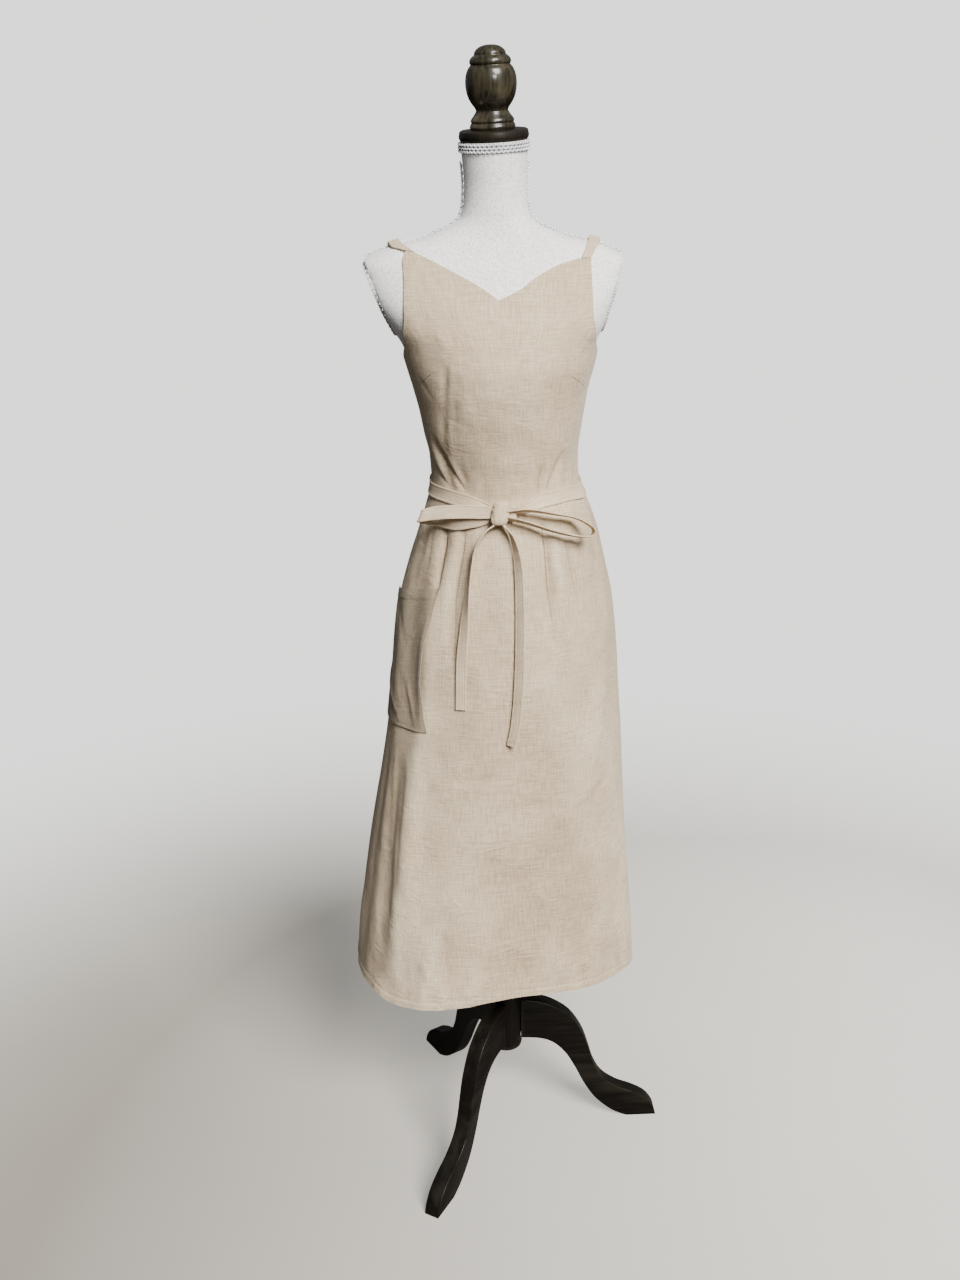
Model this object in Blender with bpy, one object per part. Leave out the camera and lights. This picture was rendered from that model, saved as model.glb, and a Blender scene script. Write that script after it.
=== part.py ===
"""Linen apron dress on a limbless dress form with a turned finial and a three-legged wooden stand.

Lengths are in metres. +Z is up, the wearer's front looks towards -Y, and +X is the viewer's right.
The dress is a wall of cloth laid on level sections. Each angle is measured from the front centre,
negative towards the viewer's left, and 180 degrees is the centre back.
"""
import math

import bpy
from mathutils import Matrix, Vector

# Frame: the stand is built on its own axes and then moved so the box's centre is over the origin
CENTRE_X = 0.01026
CENTRE_Y = -0.00383

# Cloth
WALL = 0.0016
SEAM_GAP = 0.0004
REST_GAP = 0.0006
HEM_TURN = 0.014
BACK_TOP_Z = 1.268
SIDE_SEAM = 100.0
BACK_EDGE = 196.0
BACK_OVERLAP_LIFT = 0.0026
V_X = 0.0045

# Straps, belt and bow
STRAP_WIDTH = 0.0140
STRAP_ROOT = 0.0105
STRAP_THICK = 0.0020
STRAP_RISE = 0.0046
BELT_WIDTH = 0.0190
BELT_THICK = 0.0016
BELT_GAP = 0.0007
TIE_THICK = 0.0016
KNOT_AT = (0.0030, 1.0830)
KNOT_SIZE = (0.0125, 0.0100, 0.0165)

POCKET_BULGE = 0.0022

# Form
COVER_GAP = 0.0006
TORSO_FOOT = 0.800
NECK_TOP = 1.5600
LEAN_FRONT = 8.5
LEAN_LEFT = 1.8
NECK_AT = (0.0020, -0.0060)
PLATE_TIP = 0.1768
PLATE_TIP_Z = 1.4200
PLATE_SLOPE = 0.36
PLATE_MIDDLE = 1.3620
PLATE_HALF_HIGH = 0.0470
PLATE_HALF_DEEP = 0.0365
BRAID_R = 0.0021

# Stand
STAND_X = 0.0030
POST_R = 0.0250
POST_FOOT = 0.1490
POST_TOP = 0.3000
POLE_R = 0.0125
LEG_HALF = 0.0122
LEG_EDGE = 0.0020
LEG_TURNS = (1.8, 122.6, 241.0)

# Heights of the form's lower sections
FORM_HEIGHTS = (
    TORSO_FOOT, 0.806, 0.830, 0.860, 0.900, 0.945, 0.985, 1.020, 1.055, 1.085, 1.110, 1.140, 1.175,
    1.210, 1.240, 1.264, 1.280, 1.294, 1.308, 1.325, 1.345, 1.370, 1.390, 1.405,
)

# Level sections of the cloth: height, half width, depth in front, depth behind, squareness,
# shift of the centre to the right, turn about the vertical in degrees
DRESS = (
    (0.300, 0.2275, 0.1420, 0.1690, 2.50, -0.0135, 12.8),
    (0.424, 0.2150, 0.1415, 0.1620, 2.45, -0.0118, 11.5),
    (0.514, 0.2035, 0.1405, 0.1565, 2.40, -0.0088, 10.0),
    (0.602, 0.1923, 0.1395, 0.1510, 2.35, -0.0040, 8.5),
    (0.670, 0.1843, 0.1380, 0.1460, 2.30, 0.0003, 7.5),
    (0.742, 0.1768, 0.1360, 0.1410, 2.30, 0.0048, 6.5),
    (0.803, 0.1717, 0.1340, 0.1370, 2.25, 0.0072, 5.5),
    (0.851, 0.1675, 0.1320, 0.1340, 2.20, 0.0095, 5.0),
    (0.898, 0.1625, 0.1300, 0.1300, 2.15, 0.0100, 4.2),
    (0.945, 0.1555, 0.1265, 0.1240, 2.10, 0.0105, 3.4),
    (0.980, 0.1470, 0.1225, 0.1170, 2.10, 0.0115, 2.8),
    (1.013, 0.1380, 0.1180, 0.1080, 2.10, 0.0130, 2.0),
    (1.040, 0.1300, 0.1130, 0.1000, 2.10, 0.0145, 1.0),
    (1.065, 0.1215, 0.1070, 0.0915, 2.10, 0.0145, 0.0),
    (1.086, 0.1140, 0.1020, 0.0850, 2.10, 0.0135, 0.0),
    (1.105, 0.1070, 0.0985, 0.0815, 2.10, 0.0120, 0.0),
    (1.125, 0.1050, 0.0990, 0.0810, 2.10, 0.0110, 0.0),
    (1.150, 0.1055, 0.1030, 0.0835, 2.10, 0.0100, 0.0),
    (1.180, 0.1105, 0.1095, 0.0865, 2.10, 0.0085, 0.0),
    (1.215, 0.1165, 0.1170, 0.0890, 2.10, 0.0080, 0.0),
    (1.243, 0.1225, 0.1220, 0.0910, 2.15, 0.0070, 0.0),
    (1.268, 0.1295, 0.1240, 0.0925, 2.20, 0.0070, 0.0),
    (1.300, 0.1385, 0.1190, 0.0930, 2.30, 0.0060, 0.0),
    (1.325, 0.1550, 0.1100, 0.0910, 2.40, 0.0050, 0.0),
    (1.350, 0.1700, 0.0980, 0.0880, 2.40, 0.0040, 0.0),
    (1.380, 0.1830, 0.0820, 0.0800, 2.30, 0.0040, 0.0),
    (1.410, 0.1870, 0.0640, 0.0700, 2.30, 0.0030, 0.0),
    (1.430, 0.1780, 0.0520, 0.0600, 2.20, 0.0030, 0.0),
)

# Room between the cloth's face and the form's cover: height, at the sides, in front, behind, and
# how far the form stands to the left of the cloth
EASE = (
    (0.800, 0.0200, 0.0260, 0.0160, 0.0000),
    (0.850, 0.0090, 0.0190, 0.0080, 0.0000),
    (0.900, 0.0070, 0.0150, 0.0075, 0.0000),
    (0.950, 0.0078, 0.0140, 0.0085, 0.0000),
    (1.013, 0.0080, 0.0130, 0.0085, 0.0000),
    (1.065, 0.0060, 0.0110, 0.0070, 0.0000),
    (1.105, 0.0055, 0.0090, 0.0060, 0.0000),
    (1.150, 0.0065, 0.0100, 0.0060, 0.0000),
    (1.200, 0.0070, 0.0090, 0.0055, 0.0000),
    (1.240, 0.0050, 0.0055, 0.0035, 0.0000),
    (1.262, 0.0034, 0.0034, 0.0030, 0.0000),
    (1.285, 0.0050, 0.0034, 0.0030, 0.0000),
    (1.325, 0.0070, 0.0042, 0.0030, 0.0012),
    (1.360, 0.0060, 0.0042, 0.0030, 0.0032),
    (1.430, 0.0046, 0.0044, 0.0030, 0.0043),
)

# Upper sections of the form: height at its middle, half width, depth in front, behind, squareness,
# shift to the right, shift to the front, share of the neck's lean
YOKE = (
    (1.4140, 0.1748, 0.0570, 0.0620, 2.30, -0.0013, 0.0000, 0.00),
    (1.4205, 0.1645, 0.0535, 0.0580, 2.25, -0.0012, 0.0000, 0.00),
    (1.4265, 0.1498, 0.0510, 0.0555, 2.20, -0.0006, 0.0000, 0.00),
    (1.4330, 0.1275, 0.0480, 0.0530, 2.15, 0.0004, 0.0000, 0.00),
    (1.4385, 0.1025, 0.0460, 0.0510, 2.10, 0.0015, 0.0000, 0.00),
    (1.4465, 0.0795, 0.0445, 0.0495, 2.05, 0.0018, 0.0000, 0.00),
    (1.4540, 0.0615, 0.0435, 0.0490, 2.00, 0.0022, 0.0000, 0.03),
    (1.4670, 0.0470, 0.0430, 0.0480, 2.00, 0.0025, 0.0000, 0.12),
    (1.4860, 0.0425, 0.0430, 0.0470, 2.00, 0.0028, 0.0000, 0.35),
    (1.5090, 0.0420, 0.0440, 0.0465, 2.00, 0.0032, 0.0002, 0.75),
    (1.5330, 0.0430, 0.0455, 0.0460, 2.00, 0.0028, 0.0020, 1.00),
    (NECK_TOP, 0.0448, 0.0448, 0.0448, 2.00, 0.0020, 0.0060, 1.00),
)

# Edge of the front panel as an angle at each height: the side seam, then the armhole
ARMHOLE = (
    (0.300, SIDE_SEAM),
    (1.262, SIDE_SEAM),
    (1.274, 94.0),
    (1.286, 82.0),
    (1.300, 68.0),
    (1.320, 54.5),
    (1.345, 44.5),
    (1.375, 40.0),
    (1.405, 38.5),
    (1.430, 39.5),
)

# Neckline seen from the front: across, height
NECKLINE = (
    (-0.1250, 1.4250),
    (-0.1100, 1.4235),
    (-0.0900, 1.4155),
    (-0.0710, 1.4060),
    (-0.0480, 1.3940),
    (-0.0260, 1.3820),
    (V_X, 1.3620),
    (0.0320, 1.3745),
    (0.0500, 1.3870),
    (0.0710, 1.3985),
    (0.0920, 1.4070),
    (0.1150, 1.4110),
    (0.1300, 1.4110),
)

# Folds of the cloth: angle and height where each starts and ends, half width, height of the fold.
# A negative height is a trough.
FOLDS = (
    (-42.7, 1.062, -43.0, 0.985, 0.010, -0.0050),
    (-34.0, 1.058, -36.5, 0.900, 0.010, 0.0025),
    (-27.3, 1.060, -31.5, 0.888, 0.010, -0.0030),
    (20.5, 1.062, 18.4, 0.941, 0.010, -0.0035),
    (27.0, 1.050, 27.0, 0.950, 0.010, 0.0020),
    (31.7, 1.040, 35.0, 0.952, 0.010, -0.0025),
    (58.0, 1.062, 60.0, 0.980, 0.012, -0.0020),
    (-66.0, 1.062, -70.0, 0.985, 0.012, -0.0025),
    (-58.0, 1.172, -43.5, 1.112, 0.008, -0.0045),
    (-68.0, 1.165, -50.0, 1.125, 0.008, 0.0020),
    (-34.9, 1.140, -29.3, 1.108, 0.008, -0.0025),
    (26.7, 1.142, 21.3, 1.100, 0.008, -0.0030),
    (46.4, 1.155, 31.0, 1.104, 0.008, -0.0028),
    (53.0, 1.150, 50.9, 1.106, 0.008, -0.0022),
    (70.0, 1.150, 66.0, 1.106, 0.009, -0.0025),
    (-31.0, 1.252, -37.0, 1.195, 0.011, -0.0030),
    (-20.5, 1.258, -16.5, 1.222, 0.009, -0.0014),
    (33.0, 1.250, 36.0, 1.205, 0.012, -0.0024),
    (-49.0, 0.760, -54.0, 0.400, 0.030, 0.0050),
    (48.2, 0.830, 24.0, 0.640, 0.026, 0.0032),
    (-26.0, 0.703, -4.0, 0.705, 0.010, -0.0012),
    (-1.0, 0.657, 12.0, 0.655, 0.010, -0.0012),
    (4.0, 0.560, 8.0, 0.330, 0.040, -0.0030),
    (66.0, 0.620, 70.0, 0.330, 0.036, 0.0040),
    (128.0, 1.060, 132.0, 0.900, 0.013, -0.0040),
    (150.0, 1.062, 154.0, 0.930, 0.012, -0.0030),
    (-122.0, 1.060, -126.0, 0.910, 0.013, -0.0038),
    (-148.0, 1.062, -150.0, 0.940, 0.012, -0.0030),
    (120.0, 1.165, 124.0, 1.112, 0.010, -0.0022),
    (-130.0, 1.160, -126.0, 1.112, 0.010, -0.0024),
    (-112.0, 0.760, -120.0, 0.340, 0.034, 0.0045),
    (138.0, 0.740, 142.0, 0.330, 0.036, -0.0040),
    (-160.0, 0.700, -163.0, 0.330, 0.034, -0.0030),
)

# Hem: angle, height
HEM = (
    (-180.0, 0.3280),
    (-120.0, 0.3330),
    (-80.0, 0.3370),
    (-45.0, 0.3250),
    (-28.0, 0.3255),
    (0.0, 0.3340),
    (28.0, 0.3260),
    (50.0, 0.3230),
    (70.0, 0.3160),
    (92.0, 0.3100),
    (135.0, 0.3180),
    (180.0, 0.3280),
)

# Belt: angle, height of its middle
BELT = (
    (-180.0, 1.1120),
    (-110.0, 1.1090),
    (-75.0, 1.1040),
    (-48.0, 1.1020),
    (-30.0, 1.0975),
    (-16.0, 1.0905),
    (-6.0, 1.0850),
    (6.0, 1.0855),
    (14.0, 1.0915),
    (26.0, 1.0985),
    (48.0, 1.1010),
    (75.0, 1.0975),
    (110.0, 1.1060),
    (180.0, 1.1120),
)

# Straps: turn about a line inside the shoulder, from the front up and over to the back, and how
# far across the strap's middle runs on the viewer's left and right. The strap's first section is on
# the bib's corner and its last on the back's top edge.
STRAP = (
    (71.0, -0.1250, 0.1285),
    (80.0, -0.1320, 0.1340),
    (90.0, -0.1365, 0.1372),
    (100.0, -0.1365, 0.1368),
    (112.0, -0.1330, 0.1325),
    (125.0, -0.1270, 0.1265),
    (160.0, -0.1085, 0.1060),
    (196.0, -0.0940, 0.0930),
)

# Bow loops: across, out from the cloth, height, and the way the strip's width points
# (across, out, up)
LOOP_LEFT = (
    (-0.0113, 0.0125, 1.0860, 0.00, 0.15, 1.00),
    (-0.0400, 0.0175, 1.0855, 0.00, 0.15, 1.00),
    (-0.0750, 0.0205, 1.0825, 0.00, 0.14, 1.00),
    (-0.0980, 0.0195, 1.0795, 0.00, 0.12, 1.00),
    (-0.1090, 0.0130, 1.0775, 0.00, 0.08, 1.00),
    (-0.1000, 0.0060, 1.0745, 0.00, 0.04, 1.00),
    (-0.0830, 0.0075, 1.0690, 0.00, 0.00, 1.00),
    (-0.0600, 0.0080, 1.0675, 0.00, 0.00, 1.00),
    (-0.0350, 0.0072, 1.0735, 0.00, 0.00, 1.00),
    (-0.0113, 0.0060, 1.0790, 0.00, 0.00, 1.00),
)
LOOP_RIGHT = (
    (0.0158, 0.0145, 1.0880, 0.00, 1.00, 0.45),
    (0.0420, 0.0165, 1.0890, 0.05, 1.00, 0.40),
    (0.0750, 0.0210, 1.0825, 0.15, 1.00, 0.30),
    (0.1080, 0.0260, 1.0720, 0.20, 1.00, 0.20),
    (0.1290, 0.0280, 1.0590, 0.20, 1.00, 0.15),
    (0.1270, 0.0270, 1.0490, 0.10, 1.00, 0.20),
    (0.1080, 0.0240, 1.0490, 0.00, 1.00, 0.30),
    (0.0750, 0.0190, 1.0595, 0.00, 1.00, 0.40),
    (0.0420, 0.0155, 1.0715, 0.00, 1.00, 0.45),
    (0.0158, 0.0140, 1.0795, 0.00, 1.00, 0.50),
)

# Free ends: across, out from the cloth, height, turn of the strip from lying flat on the cloth
TAIL_LEFT = (
    (-0.0025, 0.0110, 1.0663, 84.0),
    (-0.0150, 0.0110, 1.0590, 82.0),
    (-0.0285, 0.0110, 1.0390, 78.0),
    (-0.0350, 0.0105, 1.0150, 72.0),
    (-0.0420, 0.0095, 0.9750, 56.0),
    (-0.0490, 0.0060, 0.9250, 26.0),
    (-0.0545, 0.0028, 0.8750, 8.0),
    (-0.0570, 0.0012, 0.8080, 1.0),
)
TAIL_RIGHT = (
    (0.0070, 0.0110, 1.0663, -80.0),
    (0.0175, 0.0110, 1.0510, -56.0),
    (0.0240, 0.0085, 1.0200, -30.0),
    (0.0260, 0.0070, 0.9800, -22.0),
    (0.0260, 0.0060, 0.9200, -18.0),
    (0.0240, 0.0055, 0.8500, -16.0),
    (0.0190, 0.0046, 0.7900, -16.0),
    (0.0120, 0.0038, 0.7560, -18.0),
)
TAIL_WIDTH = 0.0155
LOOP_WIDTH = 0.0185

# Finial: distance up its axis from the cap's top face, radius
FINIAL = (
    (0.0000, 0.0280),
    (0.0028, 0.0294),
    (0.0056, 0.0281),
    (0.0080, 0.0272),
    (0.0104, 0.0281),
    (0.0132, 0.0263),
    (0.0165, 0.0230),
    (0.0217, 0.0210),
    (0.0284, 0.0236),
    (0.0378, 0.0293),
    (0.0473, 0.0325),
    (0.0548, 0.0330),
    (0.0643, 0.0298),
    (0.0704, 0.0252),
    (0.0732, 0.0236),
    (0.0756, 0.0256),
    (0.0794, 0.0258),
    (0.0822, 0.0236),
    (0.0879, 0.0206),
    (0.0945, 0.0152),
    (0.0990, 0.0080),
)

# Stand leg seen from its side: distance out from the stand's axis, height
LEG_TOP_EDGE = (
    (0.0250, 0.2390),
    (0.0480, 0.2370),
    (0.0780, 0.2260),
    (0.1070, 0.2040),
    (0.1280, 0.1700),
    (0.1395, 0.1360),
    (0.1485, 0.1050),
    (0.1630, 0.0790),
    (0.1870, 0.0600),
    (0.2140, 0.0480),
    (0.2370, 0.0340),
    (0.2505, 0.0160),
    (0.2555, 0.0000),
)
LEG_LOW_EDGE = (
    (0.2050, 0.0000),
    (0.1790, 0.0130),
    (0.1510, 0.0390),
    (0.1310, 0.0710),
    (0.1150, 0.1050),
    (0.0990, 0.1335),
    (0.0790, 0.1545),
    (0.0560, 0.1642),
    (0.0250, 0.1670),
)

# Rows of the panels above the hem's turned edge up to the underarm, then shares of the way from
# there to the neckline
PANEL_ROWS = (
    0.400, 0.480, 0.560, 0.630, 0.685, 0.735, 0.790, 0.840, 0.885, 0.925, 0.955,
    0.985, 1.012, 1.036, 1.058, 1.078, 1.092, 1.106, 1.122, 1.142, 1.168, 1.200, 1.230, 1.254,
)
BIB_SHARES = (0.11, 0.21, 0.33, 0.48, 0.66, 0.84, 1.0)
PANEL_COLUMNS = 34

# Pocket: angle of its edge at the side, heights of its foot and mouth at the side and at the front
POCKET_SIDE = -96.5
POCKET_FOOT = (0.7580, 0.7690)
POCKET_MOUTH = (0.9520, 0.9780)

# Pocket's front edge: height, angle
POCKET_FRONT = (
    (0.768, -41.8),
    (0.805, -45.0),
    (0.843, -48.2),
    (0.891, -46.6),
    (0.933, -43.0),
    (0.978, -40.5),
)


# Small helpers
def turn(degrees):
    """Degrees to radians."""
    return degrees * math.pi / 180.0


def table_at(table, key):
    """A row of a table between its rows, on a smooth curve that does not overshoot."""
    if key <= table[0][0]:
        return list(table[0][1:])
    if key >= table[-1][0]:
        return list(table[-1][1:])
    i = 0
    while table[i + 1][0] < key:
        i += 1
    width = table[i + 1][0] - table[i][0]
    u = (key - table[i][0]) / width
    values = []
    for c in range(1, len(table[0])):
        step = (table[i + 1][c] - table[i][c]) / width
        slope_a = step
        slope_b = step
        if i > 0:
            before = (table[i][c] - table[i - 1][c]) / (table[i][0] - table[i - 1][0])
            slope_a = soft_mean(before, step)
        if i < len(table) - 2:
            after = (table[i + 2][c] - table[i + 1][c]) / (table[i + 2][0] - table[i + 1][0])
            slope_b = soft_mean(step, after)
        h00 = (1 + 2 * u) * (1 - u) ** 2
        h10 = u * (1 - u) ** 2
        h01 = u * u * (3 - 2 * u)
        h11 = u * u * (u - 1)
        value = h00 * table[i][c] + h10 * width * slope_a
        value += h01 * table[i + 1][c] + h11 * width * slope_b
        values.append(value)
    return values


def soft_mean(a, b):
    """Slope at a table's row: none where the table turns, else a mean that cannot overshoot."""
    if a * b <= 0.0:
        return 0.0
    return 2.0 * a * b / (a + b)


def line_at(table, key):
    """The second column of a table between its rows, on straight lines."""
    if key <= table[0][0]:
        return table[0][1]
    for a, b in zip(table, table[1:]):
        if key <= b[0]:
            return a[1] + (b[1] - a[1]) * (key - a[0]) / (b[0] - a[0])
    return table[-1][1]


def oval(angle, half_width, front, behind, square):
    """A point of a squared oval, at an angle from the front centre."""
    s = math.sin(turn(angle))
    c = math.cos(turn(angle))
    depth = front if c > 0 else behind
    x = half_width * math.copysign(abs(s) ** (2.0 / square), s)
    y = -depth * math.copysign(abs(c) ** (2.0 / square), c)
    return x, y


def fold_height(angle, z):
    """How far the folds move the cloth in or out."""
    reach = table_at(DRESS, z)
    round_r = 0.5 * (reach[0] + reach[1])
    total = 0.0
    for a0, z0, a1, z1, half, height in FOLDS:
        ax = turn(a1 - a0) * round_r
        az = z1 - z0
        px = turn(angle - a0) * round_r
        pz = z - z0
        length2 = ax * ax + az * az
        along = (px * ax + pz * az) / length2
        near = min(1.0, max(0.0, along))
        dx = px - near * ax
        dz = pz - near * az
        distance = math.hypot(dx, dz)
        fade = math.sin(math.pi * min(1.0, max(0.0, 0.12 + 0.80 * near))) ** 0.6
        total += height * fade * math.exp(-(distance / half) ** 2)
    return total


def smooth_point(angle, z):
    """A point of the cloth's outer face before folds."""
    half_width, front, behind, square, shift, turned = table_at(DRESS, z)
    x, y = oval(angle, half_width, front, behind, square)
    c = math.cos(turn(turned))
    s = math.sin(turn(turned))
    return Vector((shift + x * c - y * s, x * s + y * c, z))


def smooth_normal(angle, z):
    """The way out of the cloth's outer face."""
    around = smooth_point(angle + 1.0, z) - smooth_point(angle - 1.0, z)
    up = smooth_point(angle, z + 0.006) - smooth_point(angle, z - 0.006)
    return around.cross(up).normalized()


def cloth(angle, z, lift=0.0):
    """A point of the folded cloth, moved out by the lift."""
    out = smooth_normal(angle, z)
    return smooth_point(angle, z) + out * (fold_height(angle, z) + lift)


def edge_angle(z):
    """Angle of the front panel's edge at a height."""
    return table_at(ARMHOLE, z)[0]


def neckline(x):
    """Height of the neckline straight above a place across the chest."""
    if x < V_X:
        return table_at(NECKLINE[:7], x)[0]
    return table_at(NECKLINE[6:], x)[0]


def front_angle(x, z):
    """Angle at which the cloth's front lies at a place across."""
    low = -89.0
    high = 89.0
    for _ in range(40):
        middle = 0.5 * (low + high)
        if smooth_point(middle, z).x < x:
            low = middle
        else:
            high = middle
    return 0.5 * (low + high)


def hem_height(angle):
    """Height of the hem at an angle."""
    return table_at(HEM, folded_angle(angle))[0]


def belt_middle(angle):
    """Height of the belt's middle line at an angle."""
    while angle > 180.0:
        angle -= 360.0
    return table_at(BELT, angle)[0]


# The form's cover
def plate_reach(z):
    """How far out the flat arm plate lets the form's side reach."""
    if z < 1.285:
        return 1.0
    return PLATE_TIP - PLATE_SLOPE * (PLATE_TIP_Z - z)


def form_section(z):
    """Half width, front, behind, squareness and shift of the form below the shoulder ridge."""
    half_width, front, behind, square, shift, _ = table_at(DRESS, z)
    side_room, front_room, back_room, left = table_at(EASE, z)
    return half_width - side_room, front - front_room, behind - back_room, square, shift - left


def form_point(angle, z):
    """A point of the form's cover below the shoulder ridge."""
    half_width, front, behind, square, shift = form_section(z)
    x, y = oval(angle, half_width, front, behind, square)
    reach = plate_reach(z)
    x = min(reach, max(-reach, x))
    return Vector((shift + x, y, z))


def form_rings():
    """Sections of the form from its foot to the neck's top, with the arm plate's reach."""
    rings = []
    for z in FORM_HEIGHTS:
        half_width, front, behind, square, shift = form_section(z)
        rings.append((z, half_width, front, behind, square, shift, 0.0, 0.0, plate_reach(z)))
    for row in YOKE:
        rings.append(tuple(row) + (plate_reach(row[0]),))
    return tuple(rings)


def ring_at(z):
    """The form's section at a height, straight between its rings as the cover's faces are."""
    rings = FORM_RINGS
    i = 0
    while i < len(rings) - 2 and rings[i + 1][0] < z:
        i += 1
    u = (z - rings[i][0]) / (rings[i + 1][0] - rings[i][0])
    u = min(1.0, max(0.0, u))
    return [a + (b - a) * u for a, b in zip(rings[i][1:], rings[i + 1][1:])]


def inside_form(point):
    """Negative inside the form's cover, positive outside it."""
    if point.z > NECK_TOP:
        return 1.0
    half_width, front, behind, square, shift, _, _, reach = ring_at(point.z)
    x = abs(point.x - shift)
    if x > reach:
        return 1.0
    depth = front if point.y < 0 else behind
    return (x / half_width) ** square + (abs(point.y) / depth) ** square - 1.0


def over_shoulder(x, degrees, lift):
    """A point over the form's shoulder at a place across, at a turn from the front."""
    centre = Vector((x, 0.0, 1.330))
    way = Vector((0.0, -math.cos(turn(degrees)), math.sin(turn(degrees))))
    low = 0.0
    high = 0.16
    for _ in range(36):
        middle = 0.5 * (low + high)
        if inside_form(centre + way * middle) < 0:
            low = middle
        else:
            high = middle
    return centre + way * (low + lift)


FORM_RINGS = form_rings()


def neck_lean(share):
    """Turn of the neck's top, for a share of its lean."""
    forward = Matrix.Rotation(turn(LEAN_FRONT * share), 4, "X")
    sideways = Matrix.Rotation(turn(-LEAN_LEFT * share), 4, "Y")
    return sideways @ forward


# Building solids
def finish(name, points, faces, material):
    """Makes one object from points and faces and paints it."""
    mesh = bpy.data.meshes.new(name)
    shift = Vector((CENTRE_X, CENTRE_Y, 0.0))
    volume = 0.0
    for a, b, c in faces:
        volume += Vector(points[a]).cross(Vector(points[b])).dot(Vector(points[c]))
    if volume < 0.0:
        faces = [tuple(reversed(face)) for face in faces]
    mesh.from_pydata([tuple(Vector(p) - shift) for p in points], [], faces)
    mesh.validate()
    mesh.update()
    mesh.materials.append(material)
    thing = bpy.data.objects.new(name, mesh)
    bpy.context.scene.collection.objects.link(thing)
    return thing


def paint(name, colour, rough):
    """A plain material."""
    material = bpy.data.materials.new(name)
    material.use_nodes = True
    shader = material.node_tree.nodes["Principled BSDF"]
    shader.inputs["Base Color"].default_value = (colour[0], colour[1], colour[2], 1.0)
    shader.inputs["Roughness"].default_value = rough
    material.diffuse_color = (colour[0], colour[1], colour[2], 1.0)
    return material


def two_sided(name, outer, inner, material):
    """A closed wall between two grids of points, rows by columns."""
    rows = len(outer)
    columns = len(outer[0])
    points = [p for row in outer for p in row] + [p for row in inner for p in row]
    half = rows * columns
    faces = []
    for r in range(rows - 1):
        for c in range(columns - 1):
            a = r * columns + c
            b = a + 1
            d = a + columns
            e = d + 1
            faces.append((a, b, e))
            faces.append((a, e, d))
            faces.append((half + a, half + e, half + b))
            faces.append((half + a, half + d, half + e))
    rim = [c for c in range(columns)]
    rim += [r * columns + columns - 1 for r in range(1, rows)]
    rim += [(rows - 1) * columns + c for c in range(columns - 2, -1, -1)]
    rim += [r * columns for r in range(rows - 2, 0, -1)]
    for a, b in zip(rim, rim[1:] + rim[:1]):
        faces.append((a, half + a, b))
        faces.append((b, half + a, half + b))
    return finish(name, points, faces, material)


def loft(name, rings, material, closed=False):
    """A closed body through rings of points that run counter-clockwise seen from the far end."""
    count = len(rings[0])
    points = [p for ring in rings for p in ring]
    faces = []
    steps = len(rings) if closed else len(rings) - 1
    for r in range(steps):
        low = r * count
        high = ((r + 1) % len(rings)) * count
        for c in range(count):
            d = (c + 1) % count
            faces.append((low + c, low + d, high + d))
            faces.append((low + c, high + d, high + c))
    if not closed:
        points.append(sum((Vector(p) for p in rings[0]), Vector()) / count)
        points.append(sum((Vector(p) for p in rings[-1]), Vector()) / count)
        first = len(points) - 2
        last = len(points) - 1
        top = (len(rings) - 1) * count
        for c in range(count):
            d = (c + 1) % count
            faces.append((first, d, c))
            faces.append((last, top + c, top + d))
    return finish(name, points, faces, material)


def round_ring(radius, height, count, place):
    """One level ring of a turned body, put in its place."""
    ring = []
    for i in range(count):
        a = 2 * math.pi * i / count
        ring.append(place @ Vector((radius * math.cos(a), radius * math.sin(a), height)))
    return ring


def curve_through(rows, steps):
    """Rows of a path filled in with steps between them on a smooth curve."""
    out = []
    last = len(rows) - 1
    for i in range(last):
        p0 = rows[max(i - 1, 0)]
        p1 = rows[i]
        p2 = rows[i + 1]
        p3 = rows[min(i + 2, last)]
        for k in range(steps):
            u = k / steps
            row = []
            for a, b, c, d in zip(p0, p1, p2, p3):
                value = 2 * b + (c - a) * u + (2 * a - 5 * b + 4 * c - d) * u * u
                value += (3 * b - a - 3 * c + d) * u ** 3
                row.append(0.5 * value)
            out.append(row)
    out.append(list(rows[-1]))
    return out


def strip(name, centres, widths, half_width, thick, material):
    """A flat strip along a path: middle points, and at each the way its width points."""
    rings = []
    for i, centre in enumerate(centres):
        ahead = centres[min(i + 1, len(centres) - 1)] - centres[max(i - 1, 0)]
        across = widths[i].normalized()
        out = ahead.cross(across).normalized()
        edge = across * half_width
        face = out * (0.5 * thick)
        rings.append([centre - edge - face, centre + edge - face, centre + edge + face, centre - edge + face])
    return loft(name, rings, material)


# Dress pieces
def panel_angles():
    """Shares of the edge angle at which the front panel's columns stand."""
    return [-1.0 + 2.0 * c / (PANEL_COLUMNS - 1) for c in range(PANEL_COLUMNS)]


def bib_top(share):
    """Height at which a column of the front panel meets the neckline."""
    z = 1.400
    for _ in range(30):
        x = smooth_point(share * edge_angle(z), z).x
        z = 0.5 * z + 0.5 * neckline(x)
    return z


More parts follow.
